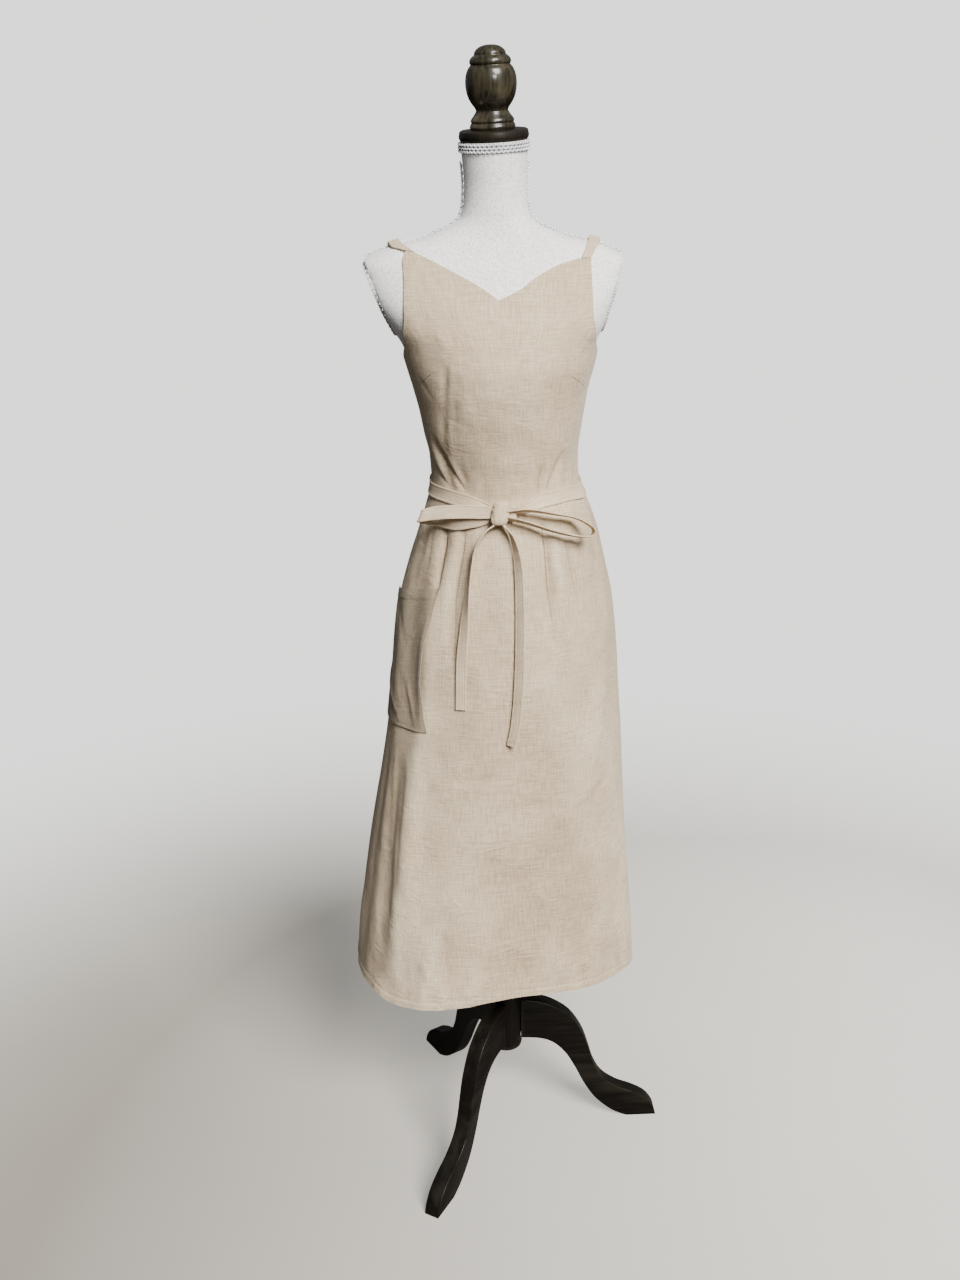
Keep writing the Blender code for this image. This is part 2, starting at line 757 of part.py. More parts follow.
def front_panel(material):
    """Bib and skirt front in one, from the neckline to the hem."""
    shares = panel_angles()
    middle = min(range(len(shares)), key=lambda c: abs(shares[c] * 39.0 - front_angle(V_X, 1.362)))
    shares[middle] = front_angle(V_X, 1.362) / edge_angle(1.362)
    tops = [bib_top(share) for share in shares]
    outer = []
    inner = []
    for up in (0.0, HEM_TURN):
        row_out = []
        row_in = []
        for share in shares:
            angle = share * SIDE_SEAM
            z = hem_height(angle) + up
            row_out.append(cloth(angle, z))
            row_in.append(cloth(angle, z, -WALL))
        outer.append(row_out)
        inner.append(row_in)
    for z in PANEL_ROWS:
        outer.append([cloth(share * edge_angle(z), z) for share in shares])
        inner.append([cloth(share * edge_angle(z), z, -WALL) for share in shares])
    start = PANEL_ROWS[-1]
    for part in BIB_SHARES:
        row_out = []
        row_in = []
        for share, top in zip(shares, tops):
            z = start + (top - start) * part
            row_out.append(cloth(share * edge_angle(z), z))
            row_in.append(cloth(share * edge_angle(z), z, -WALL))
        outer.append(row_out)
        inner.append(row_in)
    return two_sided("front_panel", outer, inner, material)


def back_panel(name, side, material):
    """One back panel from the side seam past the centre back. The left one lies on top."""
    seam = SIDE_SEAM + 100.0 * SEAM_GAP / 0.12 * 0.6
    columns = 18
    rows = [0.0, HEM_TURN] + [z for z in PANEL_ROWS if z < 1.25] + [1.250, BACK_TOP_Z - 0.004]
    outer = []
    inner = []
    for row_z in rows:
        row_out = []
        row_in = []
        for c in range(columns):
            angle = seam + (BACK_EDGE - seam) * c / (columns - 1)
            z = row_z
            if row_z <= HEM_TURN:
                z = hem_height(side * angle) + row_z
            over = min(1.0, max(0.0, (angle - 150.0) / 14.0))
            over = over * over * (3 - 2 * over)
            lift = over * BACK_OVERLAP_LIFT if side < 0 else 0.0
            signed = side * angle
            plain = smooth_point(signed, z) + smooth_normal(signed, z) * lift
            folded = fold_height(folded_angle(signed), z)
            way = smooth_normal(signed, z)
            row_out.append(plain + way * folded)
            row_in.append(plain + way * (folded - WALL))
        if side < 0:
            row_out.reverse()
            row_in.reverse()
        outer.append(row_out)
        inner.append(row_in)
    return two_sided(name, outer, inner, material)


def folded_angle(angle):
    """The same place counted between -180 and 180 degrees."""
    while angle > 180.0:
        angle -= 360.0
    while angle < -180.0:
        angle += 360.0
    return angle


def back_angle(x, z):
    """Angle at which the cloth's back lies at a place across."""
    side = 1.0 if x > 0 else -1.0
    low = 91.0
    high = 179.0
    for _ in range(40):
        middle = 0.5 * (low + high)
        if side * smooth_point(side * middle, z).x > side * x:
            low = middle
        else:
            high = middle
    return side * 0.5 * (low + high)


def strap(name, side, material):
    """A shoulder strap from the bib's corner over the shoulder to the back's top edge."""
    column = 2 if side > 0 else 1
    rows = [(row[0], row[column]) for row in STRAP]
    path = curve_through(rows, 5)
    rings = []
    corner = cloth_edge_x(side)
    across = (corner + side * 0.0003, corner - side * (STRAP_ROOT - 0.0003))
    left = min(across)
    right = max(across)
    ring = []
    for x, lift in ((left, -STRAP_THICK), (right, -STRAP_THICK), (right, 0.0), (left, 0.0)):
        z = neckline(x) + SEAM_GAP + 0.0006
        ring.append(smooth_point(front_angle(x, z), z) + smooth_normal(front_angle(x, z), z) * lift)
    rings.append(ring)
    for degrees, middle in path:
        bump = STRAP_RISE * math.exp(-((degrees - 90.0) / 8.0) ** 2)
        low = 0.0018 + bump
        high = low + STRAP_THICK
        left = middle - 0.5 * STRAP_WIDTH
        right = middle + 0.5 * STRAP_WIDTH
        rings.append([
            over_shoulder(left, degrees, low),
            over_shoulder(right, degrees, low),
            over_shoulder(right, degrees, high),
            over_shoulder(left, degrees, high),
        ])
    middle = path[-1][1]
    z = BACK_TOP_Z - 0.004 + SEAM_GAP + 0.0006
    ring = []
    for offset, lift in ((-0.5, -WALL), (0.5, -WALL), (0.5, STRAP_THICK - WALL), (-0.5, STRAP_THICK - WALL)):
        angle = back_angle(middle + offset * STRAP_WIDTH, z)
        ring.append(smooth_point(angle, z) + smooth_normal(angle, z) * lift)
    rings.append(ring)
    return loft(name, rings, material)


def cloth_edge_x(side):
    """How far across the bib's top corner lies."""
    top = bib_top(float(side))
    return smooth_point(side * edge_angle(top), top).x


def belt(material):
    """The waist tie where it lies round the dress."""
    count = 60
    rings = []
    for i in range(count):
        angle = -180.0 + 360.0 * i / count
        middle = belt_middle(angle)
        ring = []
        for up, lift in ((-1, 0), (1, 0), (1, 1), (-1, 1)):
            z = middle + up * 0.5 * BELT_WIDTH
            over = 1.0 - min(1.0, max(0.0, (abs(angle) - 0.0) / 180.0))
            back = min(1.0, max(0.0, (abs(angle) - 138.0) / 14.0))
            gap = BELT_GAP + back * BACK_OVERLAP_LIFT + 0.0 * over
            way = smooth_normal(angle, middle)
            ring.append(smooth_point(angle, z) + way * (gap + lift * BELT_THICK))
        rings.append(ring)
    return loft("belt", rings, material, closed=True)


def on_front(x, z, lift):
    """A point in front of the dress at a place across, standing off the cloth."""
    angle = front_angle(x, z)
    return smooth_point(angle, z) + smooth_normal(angle, z) * lift


def loop(name, table, material):
    """One loop of the bow."""
    centres = []
    widths = []
    for x, out, z, wx, wy, wz in curve_through(table, 3):
        base = on_front(max(-0.080, min(0.112, x)), z, 0.0)
        centres.append(Vector((x, base.y - out, z)))
        widths.append(Vector((wx, -wy, wz)))
    return strip(name, centres, widths, 0.5 * LOOP_WIDTH, TIE_THICK, material)


def tail(name, table, material):
    """One free end of the tie."""
    centres = []
    widths = []
    for x, out, z, turned in curve_through(table, 3):
        angle = front_angle(x, z)
        way = smooth_normal(angle, z)
        centres.append(smooth_point(angle, z) + way * out)
        flat = way.cross(Vector((0.0, 0.0, 1.0))).normalized()
        widths.append(-flat * math.cos(turn(turned)) + way * math.sin(turn(turned)))
    return strip(name, centres, widths, 0.5 * TAIL_WIDTH, TIE_THICK, material)


def knot(material):
    """The knot, a rounded lump of wrapped tie."""
    x, z = KNOT_AT
    half_w, half_d, half_h = KNOT_SIZE
    angle = front_angle(x, z)
    out = smooth_normal(angle, z)
    up = (smooth_point(angle, z + 0.015) - smooth_point(angle, z - 0.015)).normalized()
    across = up.cross(out).normalized()
    base = on_front(x, z, BELT_GAP + BELT_THICK + half_d + 0.0001)
    rings = []
    rows = 7
    count = 14
    for r in range(rows):
        t = math.pi * (0.09 + 0.82 * r / (rows - 1))
        level = -math.copysign(abs(math.cos(t)) ** 0.7, math.cos(t)) * half_h
        size = math.sin(t) ** 0.5
        ring = []
        for c in range(count):
            a = 2 * math.pi * c / count
            px = math.copysign(abs(math.cos(a)) ** 0.75, math.cos(a)) * half_w * size
            py = math.copysign(abs(math.sin(a)) ** 0.75, math.sin(a)) * half_d * size
            ring.append(base - across * (px + 0.10 * level) + out * py + up * level)
        rings.append(ring)
    return loft("knot", rings, material)


def pocket(material):
    """The patch pocket on the viewer's left, laid on the front panel with its mouth a little open."""
    rows = 7
    columns = 10
    outer = []
    inner = []
    for r in range(rows):
        up = r / (rows - 1)
        row_out = []
        row_in = []
        for c in range(columns):
            wide = c / (columns - 1)
            foot = POCKET_FOOT[0] + (POCKET_FOOT[1] - POCKET_FOOT[0]) * wide
            mouth = POCKET_MOUTH[0] + (POCKET_MOUTH[1] - POCKET_MOUTH[0]) * wide
            z = foot + (mouth - foot) * up
            front = table_at(POCKET_FRONT, z)[0]
            angle = POCKET_SIDE + (front - POCKET_SIDE) * wide
            lift = 2 * REST_GAP + POCKET_BULGE * up ** 1.5 * math.sin(math.pi * wide)
            row_out.append(cloth(angle, z, lift + WALL))
            row_in.append(cloth(angle, z, lift))
        outer.append(row_out)
        inner.append(row_in)
    return two_sided("pocket", outer, inner, material)


# Form pieces
def form_ring(row, count):
    """One ring of points of the form's cover."""
    z, half_width, front, behind, square, shift, ahead, share, reach = row
    lean = neck_lean(share)
    tuck = 0.96 if z == TORSO_FOOT else 1.0
    ring = []
    for c in range(count):
        x, y = oval(360.0 * c / count, half_width, front, behind, square)
        x = min(reach, max(-reach, x))
        ring.append(lean @ Vector((x * tuck, y * tuck, 0.0)) + Vector((shift, -ahead, z)))
    return ring


def torso(material):
    """The covered body of the form with its neck, open nowhere."""
    rings = [form_ring(row, 40) for row in FORM_RINGS]
    return loft("torso", rings, material)


def neck_place():
    """Where the neck's top face is, with its lean."""
    return Matrix.Translation((NECK_AT[0], NECK_AT[1], NECK_TOP)) @ neck_lean(1.0)


def neck_trim(material):
    """The ribbon round the neck's top."""
    place = neck_place()
    count = 32
    rings = []
    for i in range(count):
        a = 2 * math.pi * i / count
        ring = []
        for radius, height in ((0.0458, -0.0005), (0.0478, -0.0010), (0.0482, -0.0065), (0.0478, -0.0120),
                               (0.0458, -0.0125)):
            ring.append(place @ Vector((radius * math.cos(a), radius * math.sin(a), height)))
        rings.append(ring)
    return loft("neck_trim", rings, material, closed=True)


def neck_cap(material):
    """The turned plate that closes the neck."""
    place = neck_place()
    profile = ((0.0004, 0.0425), (0.0014, 0.0450), (0.0070, 0.0462), (0.0120, 0.0452), (0.0134, 0.0430))
    rings = [round_ring(radius, height, 32, place) for height, radius in profile]
    return loft("neck_cap", rings, material)


def finial(material):
    """The turned finial on the cap."""
    place = neck_place() @ Matrix.Translation((-0.0010, 0.0, 0.0138))
    rings = [round_ring(radius, height, 24, place) for height, radius in FINIAL]
    return loft("finial", rings, material)


def tube(name, centres, radius, material, closed):
    """A round cord along a path."""
    count = len(centres)
    rings = []
    side = None
    for i, centre in enumerate(centres):
        if closed:
            ahead = centres[(i + 1) % count] - centres[i - 1]
        else:
            ahead = centres[min(i + 1, count - 1)] - centres[max(i - 1, 0)]
        ahead.normalize()
        if side is None:
            side = ahead.cross(Vector((0.31, 0.52, 0.79))).normalized()
        side = (side - ahead * side.dot(ahead)).normalized()
        other = ahead.cross(side)
        ring = []
        for k in range(6):
            a = 2 * math.pi * k / 6
            ring.append(centre + side * (radius * math.cos(a)) + other * (radius * math.sin(a)))
        rings.append(ring)
    return loft(name, rings, material, closed=closed)


def arm_braid(name, side, material):
    """The braid round an arm plate."""
    count = 26
    centres = []
    for i in range(count):
        a = 2 * math.pi * i / count
        z = PLATE_MIDDLE + PLATE_HALF_HIGH * math.sin(a)
        y = PLATE_HALF_DEEP * math.cos(a)
        _, _, _, _, shift, _, _, reach = ring_at(z)
        x = shift + side * (reach + BRAID_R + COVER_GAP)
        centres.append(Vector((x, y, z)))
    return tube(name, centres, BRAID_R, material, closed=True)


def shoulder_braid(name, side, material):
    """The braid down the neck's side and along the shoulder ridge."""
    column = 10 if side > 0 else 30
    line = [form_ring(row, 40)[column] for row in FORM_RINGS if 1.413 < row[0] < 1.54]
    line[0] = line[0] * 0.45 + line[1] * 0.55
    centres = []
    for i, point in enumerate(line):
        before = point - line[i - 1] if i > 0 else line[1] - line[0]
        after = line[i + 1] - point if i < len(line) - 1 else before
        ways = []
        for step in (before, after):
            ways.append(Vector((side * abs(step.z), 0.0, abs(step.x) * math.copysign(1.0, -step.x * side * step.z)))
                        .normalized())
        way = (ways[0] + ways[1]).normalized()
        centres.append(point + way * ((BRAID_R + COVER_GAP) / max(0.6, way.dot(ways[0]))))
    return tube(name, centres, BRAID_R, material, closed=False)


# Stand pieces
def post(material):
    """The upright socket that the legs meet, with its turned end."""
    place = Matrix.Translation((STAND_X, 0.0, 0.0))
    profile = (
        (POST_FOOT, 0.0200), (POST_FOOT + 0.003, 0.0250), (POST_FOOT + 0.008, 0.0265), (POST_FOOT + 0.013, 0.0250),
        (POST_FOOT + 0.015, POST_R - 0.0004), (POST_TOP - 0.016, POST_R - 0.0004), (POST_TOP - 0.013, 0.0270),
        (POST_TOP - 0.003, 0.0270), (POST_TOP, 0.0245),
    )
    rings = [round_ring(radius, height, 20, place) for height, radius in profile]
    return loft("post", rings, material)


def pole(material):
    """The pole that carries the form, from the socket to the form's foot."""
    place = Matrix.Translation((STAND_X, 0.0, 0.0))
    rings = [
        round_ring(POLE_R, POST_TOP + SEAM_GAP, 16, place),
        round_ring(POLE_R, TORSO_FOOT - SEAM_GAP, 16, place),
    ]
    return loft("pole", rings, material)


def leg(name, degrees, material):
    """One curved leg cut from a board, with its edges eased."""
    outline = list(LEG_LOW_EDGE) + list(LEG_TOP_EDGE)
    count = len(outline)
    middle = []
    for i in range(count):
        before = Vector(outline[i - 1])
        here = Vector(outline[i])
        after = Vector(outline[(i + 1) % count])
        way_in = (here - before).normalized()
        way_out = (after - here).normalized()
        normal = Vector((way_in.y + way_out.y, -way_in.x - way_out.x))
        length = normal.length
        normal = normal.normalized() / max(0.55, 0.5 * length)
        middle.append(here + normal * LEG_EDGE)
    c = math.cos(turn(degrees))
    s = math.sin(turn(degrees))
    rings = []
    for side, use in ((-LEG_HALF, middle), (-LEG_HALF + LEG_EDGE, outline), (LEG_HALF - LEG_EDGE, outline),
                      (LEG_HALF, middle)):
        ring = []
        for point in use:
            ring.append(Vector((STAND_X + point[0] * c - side * s, point[0] * s + side * c, point[1])))
        rings.append(ring)
    points = [p for ring in rings for p in ring]
    faces = []
    for r in range(3):
        for i in range(count):
            j = (i + 1) % count
            a = r * count + i
            b = r * count + j
            faces.append((a, b, b + count))
            faces.append((a, b + count, a + count))
    low = len(LEG_LOW_EDGE)
    near = [i for i in range(low)]
    far = [count - 1 - i for i in range(len(LEG_TOP_EDGE))]
    cap = fan_between(near, far, outline)
    for a, b, d in cap:
        faces.append((a, d, b))
        faces.append((3 * count + a, 3 * count + b, 3 * count + d))
    return finish(name, points, faces, material)


def fan_between(near, far, outline):
    """Triangles that fill a board between its two long edges, both listed from the foot inwards."""
    triangles = []
    i = 0
    j = 0
    while i < len(near) - 1 or j < len(far) - 1:
        step_near = False
        if j == len(far) - 1:
            step_near = True
        elif i < len(near) - 1:
            a = (Vector(outline[near[i + 1]]) - Vector(outline[far[j]])).length
            b = (Vector(outline[near[i]]) - Vector(outline[far[j + 1]])).length
            step_near = a < b
        if step_near:
            triangles.append((near[i], near[i + 1], far[j]))
            i += 1
        else:
            triangles.append((near[i], far[j + 1], far[j]))
            j += 1
    return triangles


# Everything together
def clear_scene():
    """Removes whatever is in the scene."""
    for thing in list(bpy.data.objects):
        bpy.data.objects.remove(thing, do_unlink=True)


def main():
    """Builds every piece."""
    clear_scene()
    linen = paint("linen", (0.62, 0.55, 0.46), 0.85)
    linen_tie = paint("linen_tie", (0.60, 0.53, 0.44), 0.85)
    cover = paint("form_cover", (0.74, 0.72, 0.70), 0.80)
    braid = paint("braid", (0.80, 0.78, 0.84), 0.60)
    wood = paint("dark_wood", (0.035, 0.028, 0.024), 0.38)
    steel = paint("pole_paint", (0.03, 0.03, 0.03), 0.35)
    front_panel(linen)
    back_panel("back_panel_right", 1, linen)
    back_panel("back_panel_left", -1, linen)
    strap("strap_left", -1, linen)
    strap("strap_right", 1, linen)
    pocket(linen)
    belt(linen_tie)
    knot(linen_tie)
    loop("loop_left", LOOP_LEFT, linen_tie)
    loop("loop_right", LOOP_RIGHT, linen_tie)
    tail("tail_left", TAIL_LEFT, linen_tie)
    tail("tail_right", TAIL_RIGHT, linen_tie)
    torso(cover)
    neck_trim(braid)
    arm_braid("arm_braid_left", -1, braid)
    arm_braid("arm_braid_right", 1, braid)
    shoulder_braid("shoulder_braid_left", -1, braid)
    shoulder_braid("shoulder_braid_right", 1, braid)
    neck_cap(wood)
    finial(wood)
    pole(steel)
    post(wood)
    for number, degrees in enumerate(LEG_TURNS):
        leg("leg_%d" % (number + 1), degrees, wood)


main()
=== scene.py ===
# %% [markdown]
# # A linen apron dress on a dress form
#
# The dress is cut from one thin cloth: a bib and skirt front in one, two backs that wrap over each
# other, two straps, a patch pocket and a tie round the waist. It hangs on a padded form with a turned
# finial and a three-legged stand. Every length is in metres, the front looks towards -Y, and an angle
# round the dress counts from the front centre, negative towards the viewer's left.

# %% Load the frame
import math

import bpy
import numpy as np
from mathutils import Matrix, Vector


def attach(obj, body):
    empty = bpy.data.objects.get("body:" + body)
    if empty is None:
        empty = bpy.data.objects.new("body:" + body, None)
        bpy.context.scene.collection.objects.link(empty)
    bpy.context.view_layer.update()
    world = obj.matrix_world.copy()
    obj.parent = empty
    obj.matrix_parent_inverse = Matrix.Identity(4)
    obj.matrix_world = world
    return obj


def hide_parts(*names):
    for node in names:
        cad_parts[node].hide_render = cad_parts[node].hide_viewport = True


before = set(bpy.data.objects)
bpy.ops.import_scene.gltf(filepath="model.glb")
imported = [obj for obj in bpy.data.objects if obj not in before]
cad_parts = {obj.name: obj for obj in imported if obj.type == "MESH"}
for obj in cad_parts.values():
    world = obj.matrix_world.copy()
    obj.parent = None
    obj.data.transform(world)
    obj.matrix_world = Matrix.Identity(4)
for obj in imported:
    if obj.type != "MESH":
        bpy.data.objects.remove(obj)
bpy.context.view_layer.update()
BODY = "root"

# %% [markdown]
# ## Where things are
#
# The stand, the form and the dress are worked out on the form's own upright axis. The part's origin is
# under the middle of its box, a few millimetres away, so each finished mesh is moved by that much.

# %% The form's axis
AXIS = np.array((0.01026, -0.00383, 0.0))
print("the form's axis lies", [round(-1000 * x, 1) for x in AXIS[:2]], "mm from the origin")

# %% [markdown]
# ## Camera
#
# The photograph looks a little down on the dress from chest height, turned by about a degree. The
# camera is placed on the form's axis in the same way as everything else.

# %% Camera
EYE = (-0.0286, -1.705, 1.441)
LOOK_DOWN = 18.59
ROLL = -1.072
LENS = 33.75

camera_data = bpy.data.cameras.new("camera")
camera_data.lens = LENS
camera_data.sensor_width = 36.0
camera = bpy.data.objects.new("camera", camera_data)
bpy.context.scene.collection.objects.link(camera)
tilt = Matrix.Rotation(math.radians(90.0 - LOOK_DOWN), 4, "X")
camera.matrix_world = (
    Matrix.Translation(Vector(EYE) - Vector(AXIS)) @ tilt @ Matrix.Rotation(math.radians(ROLL), 4, "Z")
)
bpy.context.scene.camera = camera
print("camera at", [round(x, 4) for x in camera.matrix_world.translation])

# %% [markdown]
# ## Floor and light
#
# One broad soft lamp high on the front right makes the left side of the skirt fall into shade. A small
# one above the camera and to its right brightens the bib and the bow, and a pale sky fills the rest. The
# floor is a wide pale sheet that gets lighter away from the stand, with painted light on its right side.

# %% Floor and light
KEY_STRENGTH = 7.9
KEY_SPREAD = 26.0
KEY_TURN = (50.0, 0.0, 29.0)
SKY = (0.82, 0.84, 0.87)
SKY_STRENGTH = 0.24
FILL_PLACE = (0.46, -1.58, 2.02)
FILL_AIM = (0.0, 0.0, 1.30)
FILL_POWER = 21.0
FILL_SIZE = 0.36

key_data = bpy.data.lights.new("key", "SUN")
key_data.energy = KEY_STRENGTH
key_data.angle = math.radians(KEY_SPREAD)
key_data.color = (1.0, 0.975, 0.94)
key = bpy.data.objects.new("key", key_data)
key.rotation_euler = [math.radians(a) for a in KEY_TURN]
bpy.context.scene.collection.objects.link(key)

fill_data = bpy.data.lights.new("fill", "AREA")
fill_data.energy = FILL_POWER
fill_data.size = FILL_SIZE
fill_data.color = (1.0, 0.985, 0.96)
fill = bpy.data.objects.new("fill", fill_data)
fill.location = FILL_PLACE
fill.rotation_euler = (Vector(FILL_AIM) - Vector(FILL_PLACE)).to_track_quat("-Z", "Y").to_euler()
bpy.context.scene.collection.objects.link(fill)

world = bpy.data.worlds.new("studio")
bpy.context.scene.world = world
world.use_nodes = True
world.node_tree.nodes["Background"].inputs["Color"].default_value = (*SKY, 1.0)
world.node_tree.nodes["Background"].inputs["Strength"].default_value = SKY_STRENGTH


def select_only(thing):
    """Selects one object and makes it active."""
    bpy.ops.object.select_all(action="DESELECT")
    thing.select_set(True)
    bpy.context.view_layer.objects.active = thing


bpy.ops.object.select_all(action="DESELECT")
bpy.ops.mesh.primitive_plane_add(size=40.0, location=(0.0, 0.0, 0.0))
floor = bpy.context.object
floor.name = "floor"
print("floor", floor.dimensions[:])

# %% [markdown]
# ## Smooth tables
#
# The shape of the dress is kept as short tables, a row for each level. A curve through the rows that
# never overshoots gives everything between them, so a waist stays a waist and no ripple creeps in.

# %% Smooth tables


def along(table, keys):
    """The columns of a table at many keys, on smooth curves that do not overshoot."""
    rows = np.array(table, float)
    at = rows[:, 0]
    values = rows[:, 1:]
    step = np.diff(values, axis=0) / np.diff(at)[:, None]
    slope = np.vstack([step[:1], np.zeros((len(at) - 2, values.shape[1])), step[-1:]])
    product = step[:-1] * step[1:]
    same = product > 0
    slope[1:-1][same] = 2 * product[same] / (step[:-1] + step[1:])[same]
    keys = np.clip(np.asarray(keys, float), at[0], at[-1])
    i = np.clip(np.searchsorted(at, keys) - 1, 0, len(at) - 2)
    width = (at[i + 1] - at[i])[..., None]
    u = (keys[..., None] - at[i][..., None]) / width
    result = (1 + 2 * u) * (1 - u) ** 2 * values[i] + u * (1 - u) ** 2 * width * slope[i]
    result += u * u * (3 - 2 * u) * values[i + 1] + u * u * (u - 1) * width * slope[i + 1]
    return np.moveaxis(result, -1, 0)


def smooth_path(rows, steps):
    """Rows of a path filled in with steps between them, on a smooth curve through every row."""
    rows = np.array(rows, float)
    before = np.vstack([rows[:1], rows[:-2]])
    start, end = rows[:-1], rows[1:]
    after = np.vstack([rows[2:], rows[-1:]])
    out = []
    for u in np.arange(steps) / steps:
        value = 2 * start + (end - before) * u + (2 * before - 5 * start + 4 * end - after) * u * u
        out.append(0.5 * (value + (3 * start - before - 3 * end + after) * u ** 3))
    filled = np.stack(out, 1).reshape(-1, rows.shape[1])
    return np.vstack([filled, rows[-1:]])


def unit(v):
    """Vectors made one long."""
    return v / np.maximum(np.linalg.norm(v, axis=-1, keepdims=True), 1e-12)


def ease(t):
    """A soft step from 0 to 1."""
    t = np.clip(t, 0.0, 1.0)
    return t * t * (3 - 2 * t)


def bell(x, middle, width):
    """A soft hump: 1 in the middle, and nearly nothing two widths away from it."""
    return np.exp(-(((x - middle) / width) ** 2))


def from_line(px, py, ax, ay):
    """Places seen from a line's start, and the line itself: how far off each is, and the share passed."""
    near = np.clip((px * ax + py * ay) / (ax * ax + ay * ay), 0.0, 1.0)
    return np.hypot(px - near * ax, py - near * ay), near


def travelled(line):
    """How far along a line each of its points lies."""
    return np.concatenate([[0.0], np.cumsum(np.linalg.norm(np.diff(line, axis=0), axis=1))])


print("a table half way:", along(((0, 0), (1, 2), (2, 2)), [0.5, 1.5]).round(3))

# %% [markdown]
# ## The dress as a surface
#
# Each level of the dress is a squared oval: its half width, its depth in front and behind, how square
# it is, and how far it is shifted and turned. A point is named by its angle and its height.

# %% The dress as a surface
DRESS = (
    # height, half width, front, behind, squareness, shift, turn
    (0.300, 0.2275, 0.1420, 0.1690, 2.50, -0.0135, 12.8),
    (0.424, 0.2150, 0.1415, 0.1620, 2.45, -0.0118, 11.5),
    (0.514, 0.2035, 0.1405, 0.1565, 2.40, -0.0088, 10.0),
    (0.602, 0.1923, 0.1395, 0.1510, 2.35, -0.0040, 8.5),
    (0.670, 0.1843, 0.1380, 0.1460, 2.30, 0.0003, 7.5),
    (0.742, 0.1768, 0.1360, 0.1410, 2.30, 0.0048, 6.5),
    (0.803, 0.1717, 0.1340, 0.1370, 2.25, 0.0072, 5.5),
    (0.851, 0.1675, 0.1320, 0.1340, 2.20, 0.0095, 5.0),
    (0.898, 0.1625, 0.1300, 0.1300, 2.15, 0.0100, 4.2),
    (0.945, 0.1555, 0.1265, 0.1240, 2.10, 0.0105, 3.4),
    (0.980, 0.1470, 0.1225, 0.1170, 2.10, 0.0115, 2.8),
    (1.013, 0.1380, 0.1180, 0.1080, 2.10, 0.0130, 2.0),
    (1.040, 0.1300, 0.1130, 0.1000, 2.10, 0.0145, 1.0),
    (1.065, 0.1215, 0.1070, 0.0915, 2.10, 0.0145, 0.0),
    (1.086, 0.1140, 0.1020, 0.0850, 2.10, 0.0135, 0.0),
    (1.105, 0.1070, 0.0985, 0.0815, 2.10, 0.0120, 0.0),
    (1.125, 0.1050, 0.0990, 0.0810, 2.10, 0.0110, 0.0),
    (1.150, 0.1055, 0.1030, 0.0835, 2.10, 0.0100, 0.0),
    (1.180, 0.1105, 0.1095, 0.0865, 2.10, 0.0085, 0.0),
    (1.215, 0.1165, 0.1170, 0.0890, 2.10, 0.0080, 0.0),
    (1.243, 0.1225, 0.1220, 0.0910, 2.15, 0.0070, 0.0),
    (1.268, 0.1295, 0.1240, 0.0925, 2.20, 0.0070, 0.0),
    (1.300, 0.1385, 0.1190, 0.0930, 2.30, 0.0060, 0.0),
    (1.325, 0.1550, 0.1100, 0.0910, 2.40, 0.0050, 0.0),
    (1.350, 0.1700, 0.0980, 0.0880, 2.40, 0.0040, 0.0),
    (1.380, 0.1830, 0.0820, 0.0800, 2.30, 0.0040, 0.0),
    (1.410, 0.1870, 0.0640, 0.0700, 2.30, 0.0030, 0.0),
    (1.430, 0.1780, 0.0520, 0.0600, 2.20, 0.0030, 0.0),
)


def oval(angle, half_width, front, behind, square):
    """Points of a squared oval, at angles from the front centre."""
    s, c = np.sin(np.radians(angle)), np.cos(np.radians(angle))
    depth = np.where(c > 0, front, behind)
    x = half_width * np.copysign(np.abs(s) ** (2.0 / square), s)
    y = -depth * np.copysign(np.abs(c) ** (2.0 / square), c)
    return x, y


def face(angle, z):
    """Points of the dress before any fold."""
    angle, z = np.broadcast_arrays(np.asarray(angle, float), np.asarray(z, float))
    half_width, front, behind, square, shift, turned = along(DRESS, z)
    x, y = oval(angle, half_width, front, behind, square)
    c, s = np.cos(np.radians(turned)), np.sin(np.radians(turned))
    return np.stack([shift + x * c - y * s, x * s + y * c, z], -1)


def mean_radius(z):
    """Mean of the half width and the depth in front, which turns an angle into a length of cloth."""
    levels = along(DRESS, z)
    return 0.5 * (levels[0] + levels[1])


def flat_of(angle, z):
    """Where places of the dress lie on its flat map: round the body from the front centre, and up."""
    return np.stack([np.radians(angle) * mean_radius(z), z], -1)


def outward(angle, z):
    """The way out of the dress."""
    around = face(np.asarray(angle) + 1.0, z) - face(np.asarray(angle) - 1.0, z)
    up = face(angle, np.asarray(z) + 0.006) - face(angle, np.asarray(z) - 0.006)
    return unit(np.cross(around, up))


def angle_at(x, z, low=-89.0, high=89.0):
    """Angle at which the dress lies at a place across: the front, or the back with other limits."""
    x, z = np.broadcast_arrays(np.asarray(x, float), np.asarray(z, float))
    low, high = np.full(x.shape, float(low)), np.full(x.shape, float(high))
    rising = face(high, z)[..., 0] > face(low, z)[..., 0]
    for _ in range(40):
        middle = 0.5 * (low + high)
        less = (face(middle, z)[..., 0] < x) == rising
        low, high = np.where(less, middle, low), np.where(less, high, middle)
    return 0.5 * (low + high)


for level, z in (("waist", 1.105), ("hem", 0.330)):
    print(level, "from side to side:", (face(90.0, z) - face(-90.0, z)).round(3))

# %% [markdown]
# ## Folds and creases
#
# A fold is a line on the cloth with a width and a height: a ridge is positive and a trough negative.
# The first table holds the deep folds that the solids have too. The second holds finer ones: where the
# tie gathers the waist, the pulls from the bust, creases pressed in where the cloth was folded, and
# shallow waves above the hem.
# A lean of 1 makes a crease a little step, high on one side and low on the other, as a sharp tuck is.

